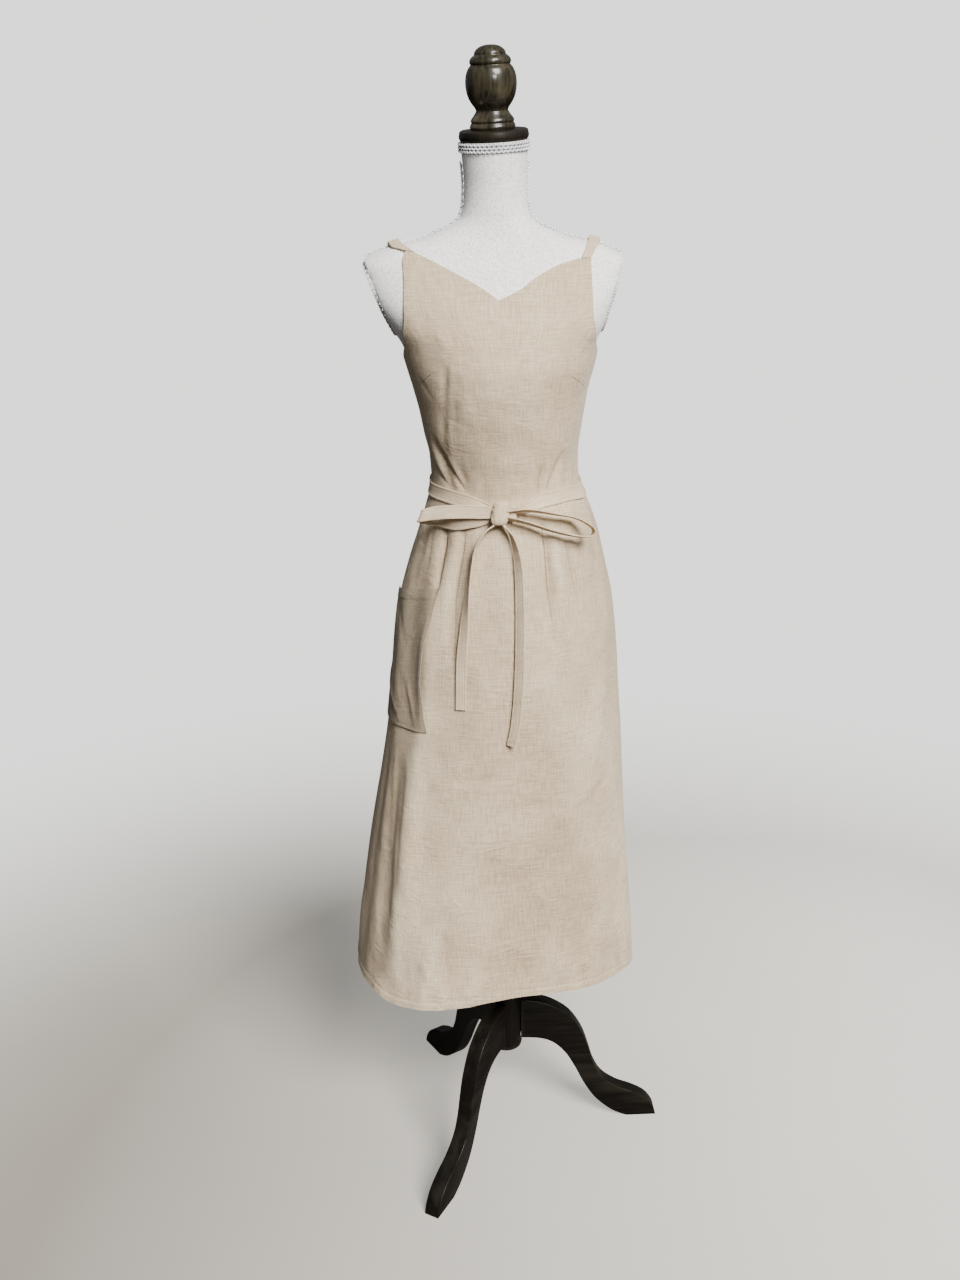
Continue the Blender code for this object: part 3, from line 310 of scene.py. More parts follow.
# %% Folds and creases
FOLDS = (
    # angle and height of the start, then of the end, half width, height
    (-42.7, 1.062, -43.0, 0.985, 0.010, -0.0050),
    (-34.0, 1.058, -36.5, 0.900, 0.010, 0.0025),
    (-27.3, 1.060, -31.5, 0.888, 0.010, -0.0030),
    (20.5, 1.062, 18.4, 0.941, 0.010, -0.0035),
    (27.0, 1.050, 27.0, 0.950, 0.010, 0.0020),
    (31.7, 1.040, 35.0, 0.952, 0.010, -0.0025),
    (58.0, 1.062, 60.0, 0.980, 0.012, -0.0020),
    (-66.0, 1.062, -70.0, 0.985, 0.012, -0.0025),
    (-58.0, 1.172, -43.5, 1.112, 0.008, -0.0045),
    (-68.0, 1.165, -50.0, 1.125, 0.008, 0.0020),
    (-34.9, 1.140, -29.3, 1.108, 0.008, -0.0025),
    (26.7, 1.142, 21.3, 1.100, 0.008, -0.0030),
    (46.4, 1.155, 31.0, 1.104, 0.008, -0.0028),
    (53.0, 1.150, 50.9, 1.106, 0.008, -0.0022),
    (70.0, 1.150, 66.0, 1.106, 0.009, -0.0025),
    (-31.0, 1.252, -37.0, 1.195, 0.011, -0.0030),
    (-20.5, 1.258, -16.5, 1.222, 0.009, -0.0014),
    (33.0, 1.250, 36.0, 1.205, 0.012, -0.0024),
    (-49.0, 0.760, -54.0, 0.400, 0.030, 0.0050),
    (48.2, 0.830, 24.0, 0.640, 0.026, 0.0032),
    (-26.0, 0.703, -4.0, 0.705, 0.010, -0.0012),
    (-1.0, 0.657, 12.0, 0.655, 0.010, -0.0012),
    (4.0, 0.560, 8.0, 0.330, 0.040, -0.0030),
    (66.0, 0.620, 70.0, 0.330, 0.036, 0.0040),
    (128.0, 1.060, 132.0, 0.900, 0.013, -0.0040),
    (150.0, 1.062, 154.0, 0.930, 0.012, -0.0030),
    (-122.0, 1.060, -126.0, 0.910, 0.013, -0.0038),
    (-148.0, 1.062, -150.0, 0.940, 0.012, -0.0030),
    (120.0, 1.165, 124.0, 1.112, 0.010, -0.0022),
    (-130.0, 1.160, -126.0, 1.112, 0.010, -0.0024),
    (-112.0, 0.760, -120.0, 0.340, 0.034, 0.0045),
    (138.0, 0.740, 142.0, 0.330, 0.036, -0.0040),
    (-160.0, 0.700, -163.0, 0.330, 0.034, -0.0030),
)
CREASES = (
    # angle and height of the start, then of the end, half width, height, lean
    (-43.9, 1.060, -41.4, 0.975, 0.0042, -0.0042, 0.6),
    (-40.2, 1.058, -37.8, 0.960, 0.0070, 0.0014, 0.0),
    (-28.2, 1.068, -30.8, 0.965, 0.0042, -0.0030, 0.5),
    (-30.6, 0.975, -29.8, 0.860, 0.0075, -0.0012, 0.3),
    (-21.0, 1.064, -23.5, 0.940, 0.0090, 0.0010, 0.0),
    (20.4, 1.064, 18.4, 0.965, 0.0042, -0.0038, -0.6),
    (18.3, 0.980, 19.5, 0.905, 0.0070, -0.0012, -0.3),
    (24.0, 1.060, 23.5, 0.940, 0.0080, 0.0012, 0.0),
    (34.3, 1.052, 36.4, 0.955, 0.0055, -0.0021, -0.5),
    (46.0, 1.060, 48.5, 0.985, 0.0060, -0.0011, 0.4),
    (-57.0, 1.060, -55.5, 1.005, 0.0060, -0.0012, 0.4),
    (-12.0, 1.060, -13.5, 0.995, 0.0070, -0.0008, 0.2),
    (9.5, 1.058, 9.0, 1.000, 0.0070, -0.0008, -0.2),
    (-46.0, 0.790, -52.0, 0.370, 0.0190, 0.0040, 0.0),
    (-62.0, 0.780, -67.0, 0.370, 0.0260, -0.0062, 0.0),
    (-80.0, 0.780, -84.0, 0.370, 0.0260, -0.0030, 0.0),
    (-43.0, 1.010, -45.5, 0.790, 0.0160, 0.0034, 0.0),
    (-60.0, 1.010, -60.5, 0.790, 0.0220, -0.0050, 0.0),
    (-78.0, 1.000, -78.5, 0.800, 0.0220, -0.0024, 0.0),
    (-72.0, 1.158, -49.0, 1.117, 0.0042, -0.0038, 0.6),
    (-54.8, 1.168, -31.5, 1.112, 0.0044, -0.0038, 0.6),
    (-63.0, 1.164, -44.0, 1.120, 0.0050, 0.0012, 0.0),
    (26.4, 1.140, 22.2, 1.104, 0.0042, -0.0026, -0.5),
    (46.8, 1.159, 29.5, 1.112, 0.0050, -0.0028, -0.5),
    (41.5, 1.132, 35.8, 1.108, 0.0045, 0.0012, 0.0),
    (60.0, 1.150, 56.0, 1.108, 0.0055, -0.0012, 0.3),
    (-16.0, 1.135, -14.0, 1.100, 0.0060, -0.0008, 0.2),
    (10.0, 1.130, 9.0, 1.100, 0.0060, -0.0008, -0.2),
    (-30.0, 1.276, -36.8, 1.236, 0.0070, -0.0032, 0.7),
    (-36.8, 1.240, -43.0, 1.190, 0.0090, -0.0030, 0.6),
    (-43.0, 1.200, -47.0, 1.150, 0.0090, -0.0018, 0.5),
    (-25.5, 1.268, -24.0, 1.236, 0.0060, -0.0010, 0.3),
    (-14.0, 1.276, -11.0, 1.240, 0.0080, -0.0009, 0.2),
    (-58.0, 1.262, -50.0, 1.242, 0.0050, -0.0012, 0.4),
    (38.0, 1.262, 42.0, 1.222, 0.0080, -0.0014, -0.5),
    (50.0, 1.242, 54.0, 1.205, 0.0070, -0.0010, -0.3),
    (28.0, 1.262, 27.0, 1.238, 0.0080, -0.0008, 0.0),
    (-10.0, 1.226, 22.0, 1.222, 0.0130, -0.0009, 0.2),
    (-22.0, 1.190, 12.0, 1.172, 0.0200, -0.0012, 0.0),
    (-3.0, 1.150, 16.0, 1.156, 0.0150, 0.0009, 0.0),
    (36.0, 1.200, 26.0, 1.160, 0.0100, -0.0010, 0.2),
    (-28.5, 0.704, -4.0, 0.705, 0.0042, -0.0010, 0.8),
    (-27.5, 0.694, -10.0, 0.688, 0.0050, 0.0006, 0.5),
    (-4.0, 0.687, 8.0, 0.662, 0.0050, -0.0008, 0.7),
    (6.5, 0.664, 19.0, 0.650, 0.0050, -0.0009, 0.8),
    (17.0, 0.652, 29.0, 0.647, 0.0045, -0.0007, 0.6),
    (47.0, 0.678, 27.0, 0.643, 0.0090, -0.0024, -0.7),
    (53.5, 0.806, 42.0, 0.792, 0.0052, -0.0014, -0.8),
    (34.0, 0.826, 43.5, 0.778, 0.0110, -0.0012, 0.3),
    (60.0, 0.880, 52.0, 0.740, 0.0160, -0.0012, 0.2),
    (8.0, 0.760, 17.0, 0.720, 0.0060, -0.0006, 0.6),
    (-1.0, 0.790, 5.0, 0.752, 0.0060, -0.0006, 0.5),
    (-21.0, 0.900, -18.0, 0.800, 0.0090, -0.0008, 0.3),
    (-12.0, 0.880, -8.0, 0.815, 0.0080, -0.0008, 0.4),
    (-68.0, 0.712, -64.0, 0.585, 0.0070, 0.0018, 0.4),
    (-73.0, 0.640, -70.0, 0.400, 0.0120, 0.0016, 0.0),
    (-56.0, 0.696, -52.0, 0.520, 0.0080, -0.0020, 0.5),
    (-58.5, 0.560, -57.0, 0.400, 0.0110, -0.0018, 0.3),
    (-45.0, 0.748, -41.0, 0.700, 0.0070, -0.0010, 0.4),
    (-80.0, 0.700, -84.0, 0.480, 0.0120, -0.0016, 0.3),
    (-34.0, 0.420, -24.0, 0.372, 0.0060, -0.0008, 0.6),
    (-22.0, 0.410, -14.0, 0.398, 0.0055, 0.0007, 0.5),
    (-36.0, 0.396, -30.0, 0.350, 0.0060, -0.0008, 0.6),
    (-14.0, 0.450, 2.0, 0.441, 0.0055, -0.0006, 0.7),
    (14.0, 0.444, 26.0, 0.456, 0.0055, -0.0006, 0.6),
    (22.0, 0.520, 36.0, 0.505, 0.0060, -0.0007, 0.7),
    (20.0, 0.386, 31.0, 0.400, 0.0055, -0.0006, 0.6),
    (56.0, 0.420, 62.0, 0.372, 0.0060, -0.0008, 0.5),
    (40.0, 0.560, 44.0, 0.470, 0.0100, -0.0008, 0.3),
    (76.0, 0.860, 72.0, 0.700, 0.0120, -0.0014, 0.2),
    (84.0, 1.055, 86.0, 0.985, 0.0070, -0.0016, 0.5),
    (74.0, 1.058, 76.0, 0.990, 0.0070, -0.0012, -0.4),
    (-84.0, 1.058, -88.0, 1.000, 0.0070, -0.0014, -0.4),
    (112.0, 1.060, 114.0, 0.960, 0.0070, -0.0018, 0.5),
    (122.0, 1.062, 125.0, 0.930, 0.0060, -0.0018, -0.5),
    (139.0, 1.060, 143.0, 0.950, 0.0070, -0.0016, 0.4),
    (160.0, 1.062, 164.0, 0.970, 0.0065, -0.0014, 0.5),
    (172.0, 1.060, 174.0, 0.985, 0.0070, -0.0010, 0.3),
    (-112.0, 1.060, -114.0, 0.970, 0.0070, -0.0018, -0.5),
    (-134.0, 1.062, -138.0, 0.930, 0.0060, -0.0018, 0.5),
    (-158.0, 1.060, -162.0, 0.950, 0.0065, -0.0014, -0.4),
    (-170.0, 1.062, -172.0, 0.990, 0.0070, -0.0010, 0.3),
    (108.0, 1.190, 118.0, 1.122, 0.0070, -0.0014, 0.4),
    (134.0, 1.150, 136.0, 1.120, 0.0060, -0.0012, 0.3),
    (152.0, 1.160, 150.0, 1.122, 0.0070, -0.0010, -0.3),
    (-108.0, 1.185, -116.0, 1.124, 0.0070, -0.0014, -0.4),
    (-140.0, 1.150, -138.0, 1.122, 0.0060, -0.0012, 0.3),
    (-160.0, 1.160, -158.0, 1.124, 0.0070, -0.0010, 0.3),
    (118.0, 0.708, 150.0, 0.700, 0.0050, -0.0009, 0.7),
    (-170.0, 0.640, -130.0, 0.652, 0.0050, -0.0009, 0.7),
    (150.0, 0.520, 176.0, 0.508, 0.0055, -0.0008, 0.6),
    (120.0, 0.860, 132.0, 0.760, 0.0110, -0.0016, 0.3),
    (-124.0, 0.880, -134.0, 0.770, 0.0110, -0.0016, -0.3),
    (104.0, 0.480, 112.0, 0.380, 0.0100, -0.0012, 0.3),
    (-150.0, 0.450, -146.0, 0.360, 0.0090, -0.0012, 0.4),
    (-33.0, 0.430, -36.0, 0.320, 0.0110, 0.0028, 0.0),
    (-24.0, 0.445, -22.0, 0.320, 0.0110, -0.0030, 0.2),
    (-13.0, 0.420, -14.0, 0.320, 0.0120, 0.0026, 0.0),
    (-2.0, 0.450, 1.0, 0.320, 0.0110, -0.0026, 0.2),
    (10.0, 0.430, 9.0, 0.320, 0.0110, 0.0024, 0.0),
    (20.0, 0.460, 24.0, 0.320, 0.0120, -0.0028, -0.2),
    (34.0, 0.430, 33.0, 0.320, 0.0110, 0.0022, 0.0),
    (46.0, 0.450, 50.0, 0.320, 0.0120, -0.0026, -0.2),
    (58.0, 0.420, 57.0, 0.320, 0.0120, 0.0022, 0.0),
    (92.0, 0.430, 96.0, 0.310, 0.0130, -0.0026, 0.2),
    (126.0, 0.440, 124.0, 0.315, 0.0120, 0.0024, 0.0),
    (160.0, 0.430, 163.0, 0.320, 0.0120, -0.0026, 0.2),
    (-94.0, 0.440, -92.0, 0.325, 0.0120, 0.0024, 0.0),
    (-134.0, 0.430, -137.0, 0.325, 0.0120, -0.0026, -0.2),
    (-176.0, 0.440, -174.0, 0.325, 0.0120, 0.0024, 0.0),
)
BELT = (
    # angle, height of the tie's middle
    (-180.0, 1.1120), (-110.0, 1.1090), (-75.0, 1.1040), (-48.0, 1.1020), (-30.0, 1.0975), (-16.0, 1.0905),
    (-6.0, 1.0850), (6.0, 1.0855), (14.0, 1.0915), (26.0, 1.0985), (48.0, 1.1010), (75.0, 1.0975),
    (110.0, 1.1060), (180.0, 1.1120),
)
SWAYS = (
    # waves round the dress and per metre of height, how far along they start, height of the wave
    (3.0, 3.1, 0.4, 0.0011),
    (5.0, -4.3, 1.9, 0.0009),
    (8.0, 6.7, 0.9, 0.0006),
    (13.0, 9.0, 2.6, 0.0004),
    (17.0, -14.0, 4.1, 0.0003),
)


def plain_turn(angle):
    """The same angle counted between -180 and 180 degrees."""
    return (np.asarray(angle, float) + 180.0) % 360.0 - 180.0


def one_fold(angle, z, radius, row):
    """How far one fold moves the cloth."""
    a0, z0, a1, z1, half, height = row[:6]
    lean = row[6] if len(row) > 6 else 0.0
    ax, az = np.radians(a1 - a0) * radius, z1 - z0
    px, pz = np.radians(angle - a0) * radius, z - z0
    away, near = from_line(px, pz, ax, az)
    side = (px * az - pz * ax) / np.sqrt(ax * ax + az * az)
    fade = np.sin(np.pi * (0.12 + 0.80 * near)) ** 0.6
    hump = bell(away, 0.0, half)
    step = 1.5 * np.clip(side / half, -2.0, 2.0) * hump
    return height * fade * ((1.0 - abs(lean)) * hump + lean * step)


def relief(angle, z):
    """How far all folds, creases and slow sways move the cloth in or out."""
    angle, z = np.broadcast_arrays(plain_turn(angle), np.asarray(z, float))
    radius = mean_radius(z)
    total = sum(one_fold(angle, z, radius, row) for row in FOLDS)
    fine = sum(one_fold(angle, z, radius, row) for row in CREASES)
    for waves, rise, start, height in SWAYS:
        wave = np.sin(np.radians(angle) * waves + z * rise * 2.0 + start)
        fine = fine + height * wave * ease((1.04 - z) / 0.2)
    free = 1.0 - np.exp(-(((z - along(BELT, angle)[0]) / 0.0165) ** 4))
    bust = 1.0 - 0.75 * ease((z - 1.27) / 0.03)
    return total + fine * free * bust


def cloth(angle, z, lift=0.0):
    """Points of the folded cloth, moved out by the lift."""
    move = relief(angle, z) + lift
    return face(angle, z) + outward(angle, z) * move[..., None]


print("folds:", len(FOLDS), "finer creases:", len(CREASES))

# %% [markdown]
# ## Making a mesh from rows of points
#
# Cloth is thin, so every piece is a closed wall: an outer grid of points, an inner one, and a rim
# between them. Each piece also keeps a flat map in metres, so that the weave runs with the cloth and
# not through it, and a value for how deep each place lies in a fold, which the linen turns into painted
# shade in the troughs and painted light on the ridges.

# %% Making a mesh
pieces = {}


def new_object(name, points, edges, faces):
    """A new object from points, edges and faces, selected alone."""
    mesh = bpy.data.meshes.new(name)
    mesh.from_pydata(points, edges, faces)
    thing = bpy.data.objects.new(name, mesh)
    bpy.context.scene.collection.objects.link(thing)
    select_only(thing)
    return thing


def hang(thing):
    """Hangs a finished piece on the frame and notes it."""
    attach(thing, BODY)
    pieces[thing.name] = thing


def finish_piece(name, corners, faces, material, flat=None, shade=None, crisp=38.0):
    """Makes an object from points and faces, turns it right side out, paints it and hangs it on the frame."""
    corners = np.asarray(corners, float) - AXIS
    volume = 0.0
    for quad in faces:
        quad = np.asarray(quad)
        for k in range(1, quad.shape[1] - 1):
            a, b, c = corners[quad[:, 0]], corners[quad[:, k]], corners[quad[:, k + 1]]
            volume += float(np.einsum("ij,ij->", np.cross(a, b), c))
    if volume < 0:
        faces = [np.asarray(quad)[:, ::-1] for quad in faces]
    thing = new_object(name, corners.tolist(), [], [tuple(f) for quad in faces for f in quad.tolist()])
    mesh = thing.data
    corner_of = np.empty(len(mesh.loops), int)
    mesh.loops.foreach_get("vertex_index", corner_of)
    if flat is not None:
        layer = mesh.uv_layers.new(name="cloth")
        layer.data.foreach_set("uv", np.asarray(flat, float)[corner_of].ravel())
    # The fold value is kept for the linen's painted shade in troughs and painted light on ridges.
    if shade is not None:
        attribute = mesh.attributes.new("fold", "FLOAT", "POINT")
        attribute.data.foreach_set("value", np.asarray(shade, float).ravel())
    mesh.materials.append(material)
    bpy.ops.object.shade_smooth_by_angle(angle=math.radians(crisp))
    hang(thing)
    return thing


def grid_faces(rows, columns, start=0, closed=False, looped=False):
    """Four-sided faces of a grid of points: closed joins its columns round, and looped its rows."""
    index = np.arange(rows * columns).reshape(rows, columns) + start
    if looped:
        index = np.concatenate([index, index[:1]])
    if closed:
        index = np.concatenate([index, index[:, :1]], 1)
    a, b = index[:-1, :-1].ravel(), index[:-1, 1:].ravel()
    d, e = index[1:, :-1].ravel(), index[1:, 1:].ravel()
    return np.stack([a, b, e, d], -1)


def cloth_wall(name, outer, inner, flat, material, shade=None):
    """A closed thin wall between two grids of points."""
    rows, columns = outer.shape[:2]
    half = rows * columns
    index = np.arange(half).reshape(rows, columns)
    rim = np.concatenate([index[0], index[1:, -1], index[-1, -2::-1], index[-2:0:-1, 0]])
    after = np.roll(rim, -1)
    faces = [
        grid_faces(rows, columns),
        grid_faces(rows, columns, half)[:, ::-1],
        np.stack([rim, rim + half, after + half, after], -1),
    ]
    corners = np.concatenate([outer.reshape(-1, 3), inner.reshape(-1, 3)])
    flat = np.concatenate([flat.reshape(-1, 2)] * 2)
    if shade is not None:
        shade = np.concatenate([shade.ravel()] * 2)
    return finish_piece(name, corners, faces, material, flat, shade)


def flat_map(points):
    """A flat map of a grid of points, in metres: along each row from its middle, and up each column."""
    across = np.linalg.norm(np.diff(points, axis=1), axis=-1)
    u = np.concatenate([np.zeros((len(points), 1)), np.cumsum(across, 1)], 1)
    u = u - u[:, [points.shape[1] // 2]]
    up = np.linalg.norm(np.diff(points, axis=0), axis=-1)
    v = np.concatenate([np.zeros((1, points.shape[1])), np.cumsum(up, 0)], 0)
    return np.stack([u, v], -1)


print("helpers ready")

# %% [markdown]
# ## Node groups
#
# Linen is a plain weave of uneven threads. Seen close, single threads stand out, and from a step away
# their thick and thin places make a fine cross-hatched grain. The group takes the flat map in metres,
# so one weave serves panels, straps and ties alike.

# %% A group for the weave


def feed(tree, node, feeds):
    """Feeds a node's inputs with values or with other nodes' outputs."""
    for socket, source in feeds.items():
        if isinstance(source, bpy.types.NodeSocket):
            tree.links.new(source, node.inputs[socket])
        else:
            node.inputs[socket].default_value = source


def add(tree, kind, feeds=None, **settings):
    """Adds a shader node, sets it up and feeds it."""
    made = tree.nodes.new("ShaderNode" + kind)
    for key, value in settings.items():
        setattr(made, key, value)
    feed(tree, made, feeds or {})
    return made


def new_group(name, inputs, outputs):
    """An empty node group with named inputs and outputs."""
    tree = bpy.data.node_groups.new(name, "ShaderNodeTree")
    for label, kind, value in inputs:
        socket = tree.interface.new_socket(name=label, in_out="INPUT", socket_type="NodeSocket" + kind)
        if value is not None:
            socket.default_value = value
    for label, kind in outputs:
        tree.interface.new_socket(name=label, in_out="OUTPUT", socket_type="NodeSocket" + kind)
    return tree, tree.nodes.new("NodeGroupInput").outputs, tree.nodes.new("NodeGroupOutput")


def math_node(tree, operation, a, b=None, c=None):
    """The output of a math node."""
    feeds = {k: value for k, value in enumerate((a, b, c)) if value is not None}
    return add(tree, "Math", feeds, operation=operation).outputs[0]


def ranged(tree, value, low, high, start=0.0, end=1.0, kind="LINEAR"):
    """The stretch of a value from low to high, spread from start to end and held there beyond."""
    feeds = {0: value, 1: low, 2: high, 3: start, 4: end}
    return add(tree, "MapRange", feeds, interpolation_type=kind).outputs[0]


def scaled(tree, vector, scale):
    """A vector with each part multiplied."""
    return add(tree, "VectorMath", {0: vector, 1: scale}, operation="MULTIPLY").outputs[0]


def noise(tree, vector, scale=1.0, detail=2.0, roughness=0.5, distortion=0.0):
    """The value of a noise texture."""
    feeds = {
        "Vector": vector, "Scale": scale, "Detail": detail, "Roughness": roughness, "Distortion": distortion,
    }
    return add(tree, "TexNoise", feeds).outputs[0]


def build_weave():
    """Linen's weave: the height of its threads, and how light or dark they are."""
    inputs = [("Flat", "Vector", None), ("Thread", "Float", 0.0009), ("Slubs", "Float", 1.0)]
    tree, given, result = new_group("linen weave", inputs, [("Height", "Float"), ("Tone", "Float")])
    flat = given["Flat"]
    warp = noise(tree, scaled(tree, flat, (1500.0, 62.0, 1.0)), detail=3.0, roughness=0.6)
    weft = noise(tree, scaled(tree, flat, (55.0, 1400.0, 1.0)), detail=3.0, roughness=0.6)
    grain = noise(tree, scaled(tree, flat, (900.0, 900.0, 1.0)), detail=3.0, roughness=0.7)
    split = add(tree, "SeparateXYZ", {0: flat}).outputs
    turns = math_node(tree, "DIVIDE", 6.2832, given["Thread"])
    over = math_node(tree, "SINE", math_node(tree, "MULTIPLY", split[0], turns))
    under = math_node(tree, "SINE", math_node(tree, "MULTIPLY", split[1], turns))
    woven = math_node(tree, "MULTIPLY_ADD", math_node(tree, "MULTIPLY", over, under), 0.30, 0.5)
    threads = math_node(tree, "ADD", warp, weft)
    uneven = math_node(tree, "MULTIPLY", math_node(tree, "SUBTRACT", threads, 1.0), given["Slubs"])
    upright = noise(tree, scaled(tree, flat, (620.0, 30.0, 1.0)), detail=3.0, roughness=0.65)
    level = noise(tree, scaled(tree, flat, (28.0, 580.0, 1.0)), detail=3.0, roughness=0.65)
    slub = math_node(tree, "SUBTRACT", math_node(tree, "ADD", upright, level), 1.0)
    uneven = math_node(tree, "MULTIPLY_ADD", slub, given["Slubs"], uneven)
    height = math_node(tree, "ADD", woven, uneven)
    rough = math_node(tree, "SUBTRACT", grain, 0.5)
    tone = math_node(tree, "MULTIPLY_ADD", uneven, 1.1, math_node(tree, "MULTIPLY_ADD", rough, 0.9, 0.5))
    feed(tree, result, {"Height": height, "Tone": tone})
    return tree


WEAVE = build_weave()
print("group", WEAVE.name)

# %% [markdown]
# Linen also keeps every small fold it was ever given. A second group makes these soft crumples: two
# stretched noises, the finer one bent on itself and kept where the coarser is high, so they run in short curved
# lines.

# %% A group for soft crumples


def build_crumple():
    """Soft crumples of worn linen."""
    inputs = [("Flat", "Vector", None), ("Size", "Float", 0.04)]
    tree, given, result = new_group("linen crumple", inputs, [("Height", "Float"), ("Patch", "Float")])
    per = math_node(tree, "DIVIDE", 1.0, given["Size"])
    vector = add(tree, "VectorMath", {0: given["Flat"], "Scale": per}, operation="SCALE").outputs[0]
    broad = noise(tree, scaled(tree, vector, (0.8, 0.45, 1.0)), detail=1.0)
    bent = noise(tree, scaled(tree, vector, (1.0, 1.7, 1.0)), detail=2.5, roughness=0.55, distortion=0.9)
    ridge = math_node(tree, "ABSOLUTE", math_node(tree, "SUBTRACT", bent, 0.5))
    sharp = math_node(tree, "POWER", math_node(tree, "SUBTRACT", 1.0, ridge), 5.0)
    lines = math_node(tree, "MULTIPLY", sharp, ranged(tree, broad, 0.42, 0.62))
    height = math_node(tree, "MULTIPLY_ADD", lines, 0.22, broad)
    patch = noise(tree, scaled(tree, vector, (0.33, 0.30, 1.0)), detail=2.0)
    feed(tree, result, {"Height": height, "Patch": patch})
    return tree


CRUMPLE = build_crumple()
print("group", CRUMPLE.name)

# %% [markdown]
# A third group marks a line on the cloth between two places of its flat map, along which the linen paints
# shade: a sewn dart, or the sharp bottom of a fold, where no light gets in. It fades out towards both ends.

# %% A group for lines on the cloth


def build_line():
    """A soft line between two places of the flat map."""
    places = [(label, "Vector", None) for label in ("Flat", "Start", "End")]
    inputs = [*places, ("Width", "Float", 0.001)]
    tree, given, result = new_group("cloth line", inputs, [("Line", "Float")])
    run = add(tree, "VectorMath", {0: given["End"], 1: given["Start"]}, operation="SUBTRACT").outputs[0]
    here = add(tree, "VectorMath", {0: given["Flat"], 1: given["Start"]}, operation="SUBTRACT").outputs[0]
    done = add(tree, "VectorMath", {0: here, 1: run}, operation="DOT_PRODUCT").outputs["Value"]
    whole = add(tree, "VectorMath", {0: run, 1: run}, operation="DOT_PRODUCT").outputs["Value"]
    share = ranged(tree, math_node(tree, "DIVIDE", done, whole), 0.0, 1.0)
    nearest = add(tree, "VectorMath", {0: run, "Scale": share}, operation="SCALE").outputs[0]
    away = add(tree, "VectorMath", {0: here, 1: nearest}, operation="DISTANCE").outputs["Value"]
    near = ranged(tree, away, 0.0, given["Width"], 1.0, 0.0, "SMOOTHSTEP")
    middle = math_node(tree, "MULTIPLY_ADD", share, 2.0, -1.0)
    ends = math_node(tree, "SUBTRACT", 1.0, math_node(tree, "POWER", math_node(tree, "ABSOLUTE", middle), 4.0))
    feed(tree, result, {"Line": math_node(tree, "MULTIPLY", near, ends)})
    return tree


LINE = build_line()
print("group", LINE.name)

# %% [markdown]
# ## Linen
#
# Undyed linen is a warm oatmeal grey. Painted shade makes deep places in a fold a little browner and
# painted light makes ridges a little paler, and the colour drifts slowly over a panel. Light skims the
# fibres, so a weak sheen is added on top of a rough surface. The pocket gets a darker shade, which is
# painted shade, and the tie a paler one, which is painted light.

# %% Linen materials


def new_material(name):
    """A material with its tree and its shader."""
    material = bpy.data.materials.new(name)
    material.use_nodes = True
    tree = material.node_tree
    return material, tree, tree.nodes["Principled BSDF"]


def mix_colour(tree, share, a, b, kind="MIX"):
    """The output of a colour mix."""
    made = add(tree, "Mix", {0: share}, data_type="RGBA", blend_type=kind)
    for socket, source in ((6, a), (7, b)):
        if isinstance(source, bpy.types.NodeSocket):
            tree.links.new(source, made.inputs[socket])
        else:
            made.inputs[socket].default_value = (*source, 1.0)
    return made.outputs[2]


def tinted(tree, base, tint):
    """A colour multiplied by another."""
    return mix_colour(tree, 1.0, base, tint, "MULTIPLY")


def bumped(tree, height, distance, strength=1.0, below=None):
    """A normal tipped by a height, over another normal if one is given."""
    feeds = {"Height": height, "Distance": distance, "Strength": strength}
    if below is not None:
        feeds["Normal"] = below
    return add(tree, "Bump", feeds).outputs[0]


PALE = (0.665, 0.560, 0.412)
DEEP = (0.430, 0.345, 0.238)
FRONT_PAINTED_SHADE_LINES = (
    # angle and height of the start, then of the end, half width, how dark: painted shade of two darts, then of
    # fold bottoms
    (-66.0, 1.2475, -40.5, 1.2735, 0.0011, 0.50), (40.0, 1.2665, 67.5, 1.2425, 0.0011, 0.50),
    (-44.2, 1.068, -41.6, 0.970, 0.0019, 0.90), (-28.4, 1.072, -30.8, 0.955, 0.0014, 0.55),
    (-30.6, 0.975, -29.6, 0.850, 0.0018, 0.35), (20.5, 1.070, 18.4, 0.960, 0.0018, 0.85),
    (18.6, 0.985, 19.6, 0.900, 0.0018, 0.40), (34.4, 1.055, 36.6, 0.950, 0.0015, 0.35),
    (-72.0, 1.1585, -47.0, 1.1140, 0.0016, 0.80), (-54.8, 1.1680, -30.5, 1.1100, 0.0016, 0.85),
    (26.6, 1.1420, 21.8, 1.1020, 0.0014, 0.60), (47.2, 1.1590, 29.0, 1.1100, 0.0016, 0.45),
)


